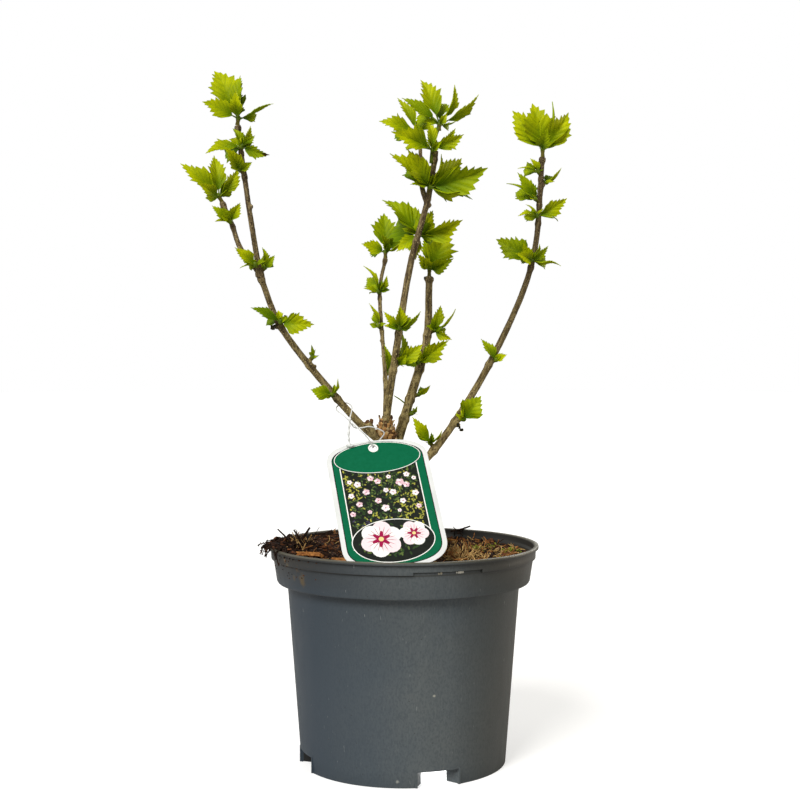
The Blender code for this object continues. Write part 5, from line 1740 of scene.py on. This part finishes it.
for _ in range(900):
    x, y = art.uniform(LEFT + 1.5, RIGHT - 1.5), art.uniform(-78, -17)
    in_sun = x + 0.5 * y < -32 and y > -42 or x > 8 + 0.25 * (y + 60) and y < -38
    sun = 0.75 if in_sun else 0.12
    pick = art.random()
    finish = SUNNY if pick < sun else MOSSY if pick < 0.45 + 0.4 * sun else LEAFY
    finish = DUSK if finish == LEAFY and y < -58 and x < 2 and art.random() < 0.5 else finish
    leaf = spray(x, y, art.uniform(0, math.pi), art.uniform(1.2, 3.0), art.uniform(0.6, 1.3), 7)
    on_card(leaf, 4 + art.uniform(0, 1), finish)
for x, y, size in BLOSSOMS:
    spin, main = art.uniform(0, 2), art.choice((PETAL, BLUSH))
    second = WHITE if main == PETAL else PETAL
    petals(x, y, size * art.uniform(0.85, 1.25), 5, spin, 5.2, (main, second), 1.0, sides=8)
    on_card(spray(x, y, 0, 0.9, 0.9, 6), 6, CRIMSON)
print("blossoms:", len(BLOSSOMS))

# %% Header field, and two open flowers in an oval at the foot
for grow, level, finish, clear in ((0.9, 7, BLACK, 2.6), (0.5, 8, WHITE, 2.6), (0, 9, GREEN, 3.5)):
    bitten(oval(1.5, -8.3, 29.6 + grow, 12.6 + grow, 72), level, finish, clear)
for grow, level, finish in ((0.6, 7, WHITE), (0, 8, SHADE)):
    on_card(oval(1.5, -77.5, 27.2 + grow, 16.6 + grow, 72), level, finish)
for _ in range(90):
    a = art.uniform(0, 2 * math.pi)
    far = math.sqrt(art.uniform(0.2, 0.8))
    x, y = 1.5 + 25 * far * math.cos(a), -77.5 + 14.5 * far * math.sin(a)
    leaf = spray(x, y, art.uniform(0, math.pi), 3.2, 1.4, 7)
    on_card(leaf, 9 + art.uniform(0, 0.8), art.choice((LEAFY, MOSSY)))
for x, y, size, spin, level in ((15.8, -73.5, 9.6, 0.9, 10), (-6.5, -75.5, 13.6, 0.35, 14)):
    petals(x, y, size, 6, spin, level, (WHITE, PETAL), 0.98, sides=16)
    petals(x, y, size * 0.74, 18, spin + 0.15, level + 1, (CRIMSON,), 0.035, 0.12, 6)
    petals(x, y, size * 0.46, 6, spin, level + 2, (CRIMSON,), 0.44)
    on_card(spray(x, y, 0, size * 0.26, size * 0.26, 14), level + 3, CREAM)

inks = []
for name, color in PRINT.items():
    paler = tuple(min(255, channel + 8) for channel in color)
    inks.append(two_tone("print_" + name, color, paler, 420, (0.3, 0.8), Roughness=0.30, Specular_IOR_Level=0.15))
bmesh.ops.recalc_face_normals(bm, faces=bm.faces)
bmesh.ops.transform(bm, matrix=CARD_PLACE, verts=bm.verts)
add_piece("label_print", bm, inks, angle=30)

# %% [markdown]
# ## The tie
# A thin white elastic goes through the card's hole and round the left bough, and ends in a
# moulded bar. Its route is the solid's own, read more finely, and a ring is swept along it.

# %% Tie
TIE_RADIUS = 0.00045
TIE_LAP = 3
TIE_AT_LABEL = ((6.5, 8.6, -1.3), (2.6, 5.0, -1.7), (0.3, 2.2, -1.7), (0, 1.35, 0.3), (-0.5, 1.5, 2.4))
TIE_AT_BOUGH = (
    (-26.5, -21.0, 230.7), (-36.9, -20.5, 240), (-42.1, -19.0, 244.7), (-45.7, -15.5, 247),
    (-46.6, -10, 249.2), (-44.0, -5.5, 251.5), (-39.5, -4.5, 252.2), (-36.2, -8.0, 250.2),
    (-36.0, -14.5, 246.6), (-37.0, -18.0, 241), (-34.2, -17.5, 235.9), (-29.4, -16.5, 235.4),
    (-23.9, -15.5, 236.2), (-17.7, -14, 234.6), (-13.4, -11.8, 231.6),
)
BAR = ((-37.0, -18.0, 242.5), (-37.6, -19.0, 236), (-37.9, -19.5, 229), (-36.9, -20, 223.4))
BAR_FOOT = ((-39.4, -20.2, 223.8), (-36.8, -20.1, 223.0), (-34.2, -19.8, 223.9))
BAR_FOOT_RADIUS = 0.0008

knots = [CARD_PLACE @ (Vector(point) * MM) / MM for point in TIE_AT_LABEL] + list(TIE_AT_BOUGH)
loop = smooth_route(knots, [8] * len(knots), closed=True)
bm = bmesh.new()
sweep(bm, loop + loop[:TIE_LAP], [TIE_RADIUS] * (len(loop) + TIE_LAP), 8)
bar = smooth_route(BAR, [10] * 3)
sweep(bm, bar, [0.0006 + 0.0004 * (0.5 + 0.5 * math.sin(i * 0.9)) for i in range(len(bar))], 10)
foot = smooth_route(BAR_FOOT, [6] * 2)
sweep(bm, foot, [BAR_FOOT_RADIUS] * len(foot), 10)
bmesh.ops.recalc_face_normals(bm, faces=bm.faces)
tie_white = two_tone("tie_white", (226, 226, 224), (204, 206, 206), 300, (0.3, 0.7), Roughness=0.35)
shader = tie_white.node_tree.nodes["Principled BSDF"]
shader.inputs["Subsurface Weight"].default_value = 0.35
shader.inputs["Subsurface Radius"].default_value = (0.002, 0.002, 0.002)
add_piece("elastic_tie", bm, [tie_white], ("tie",), angle=60)
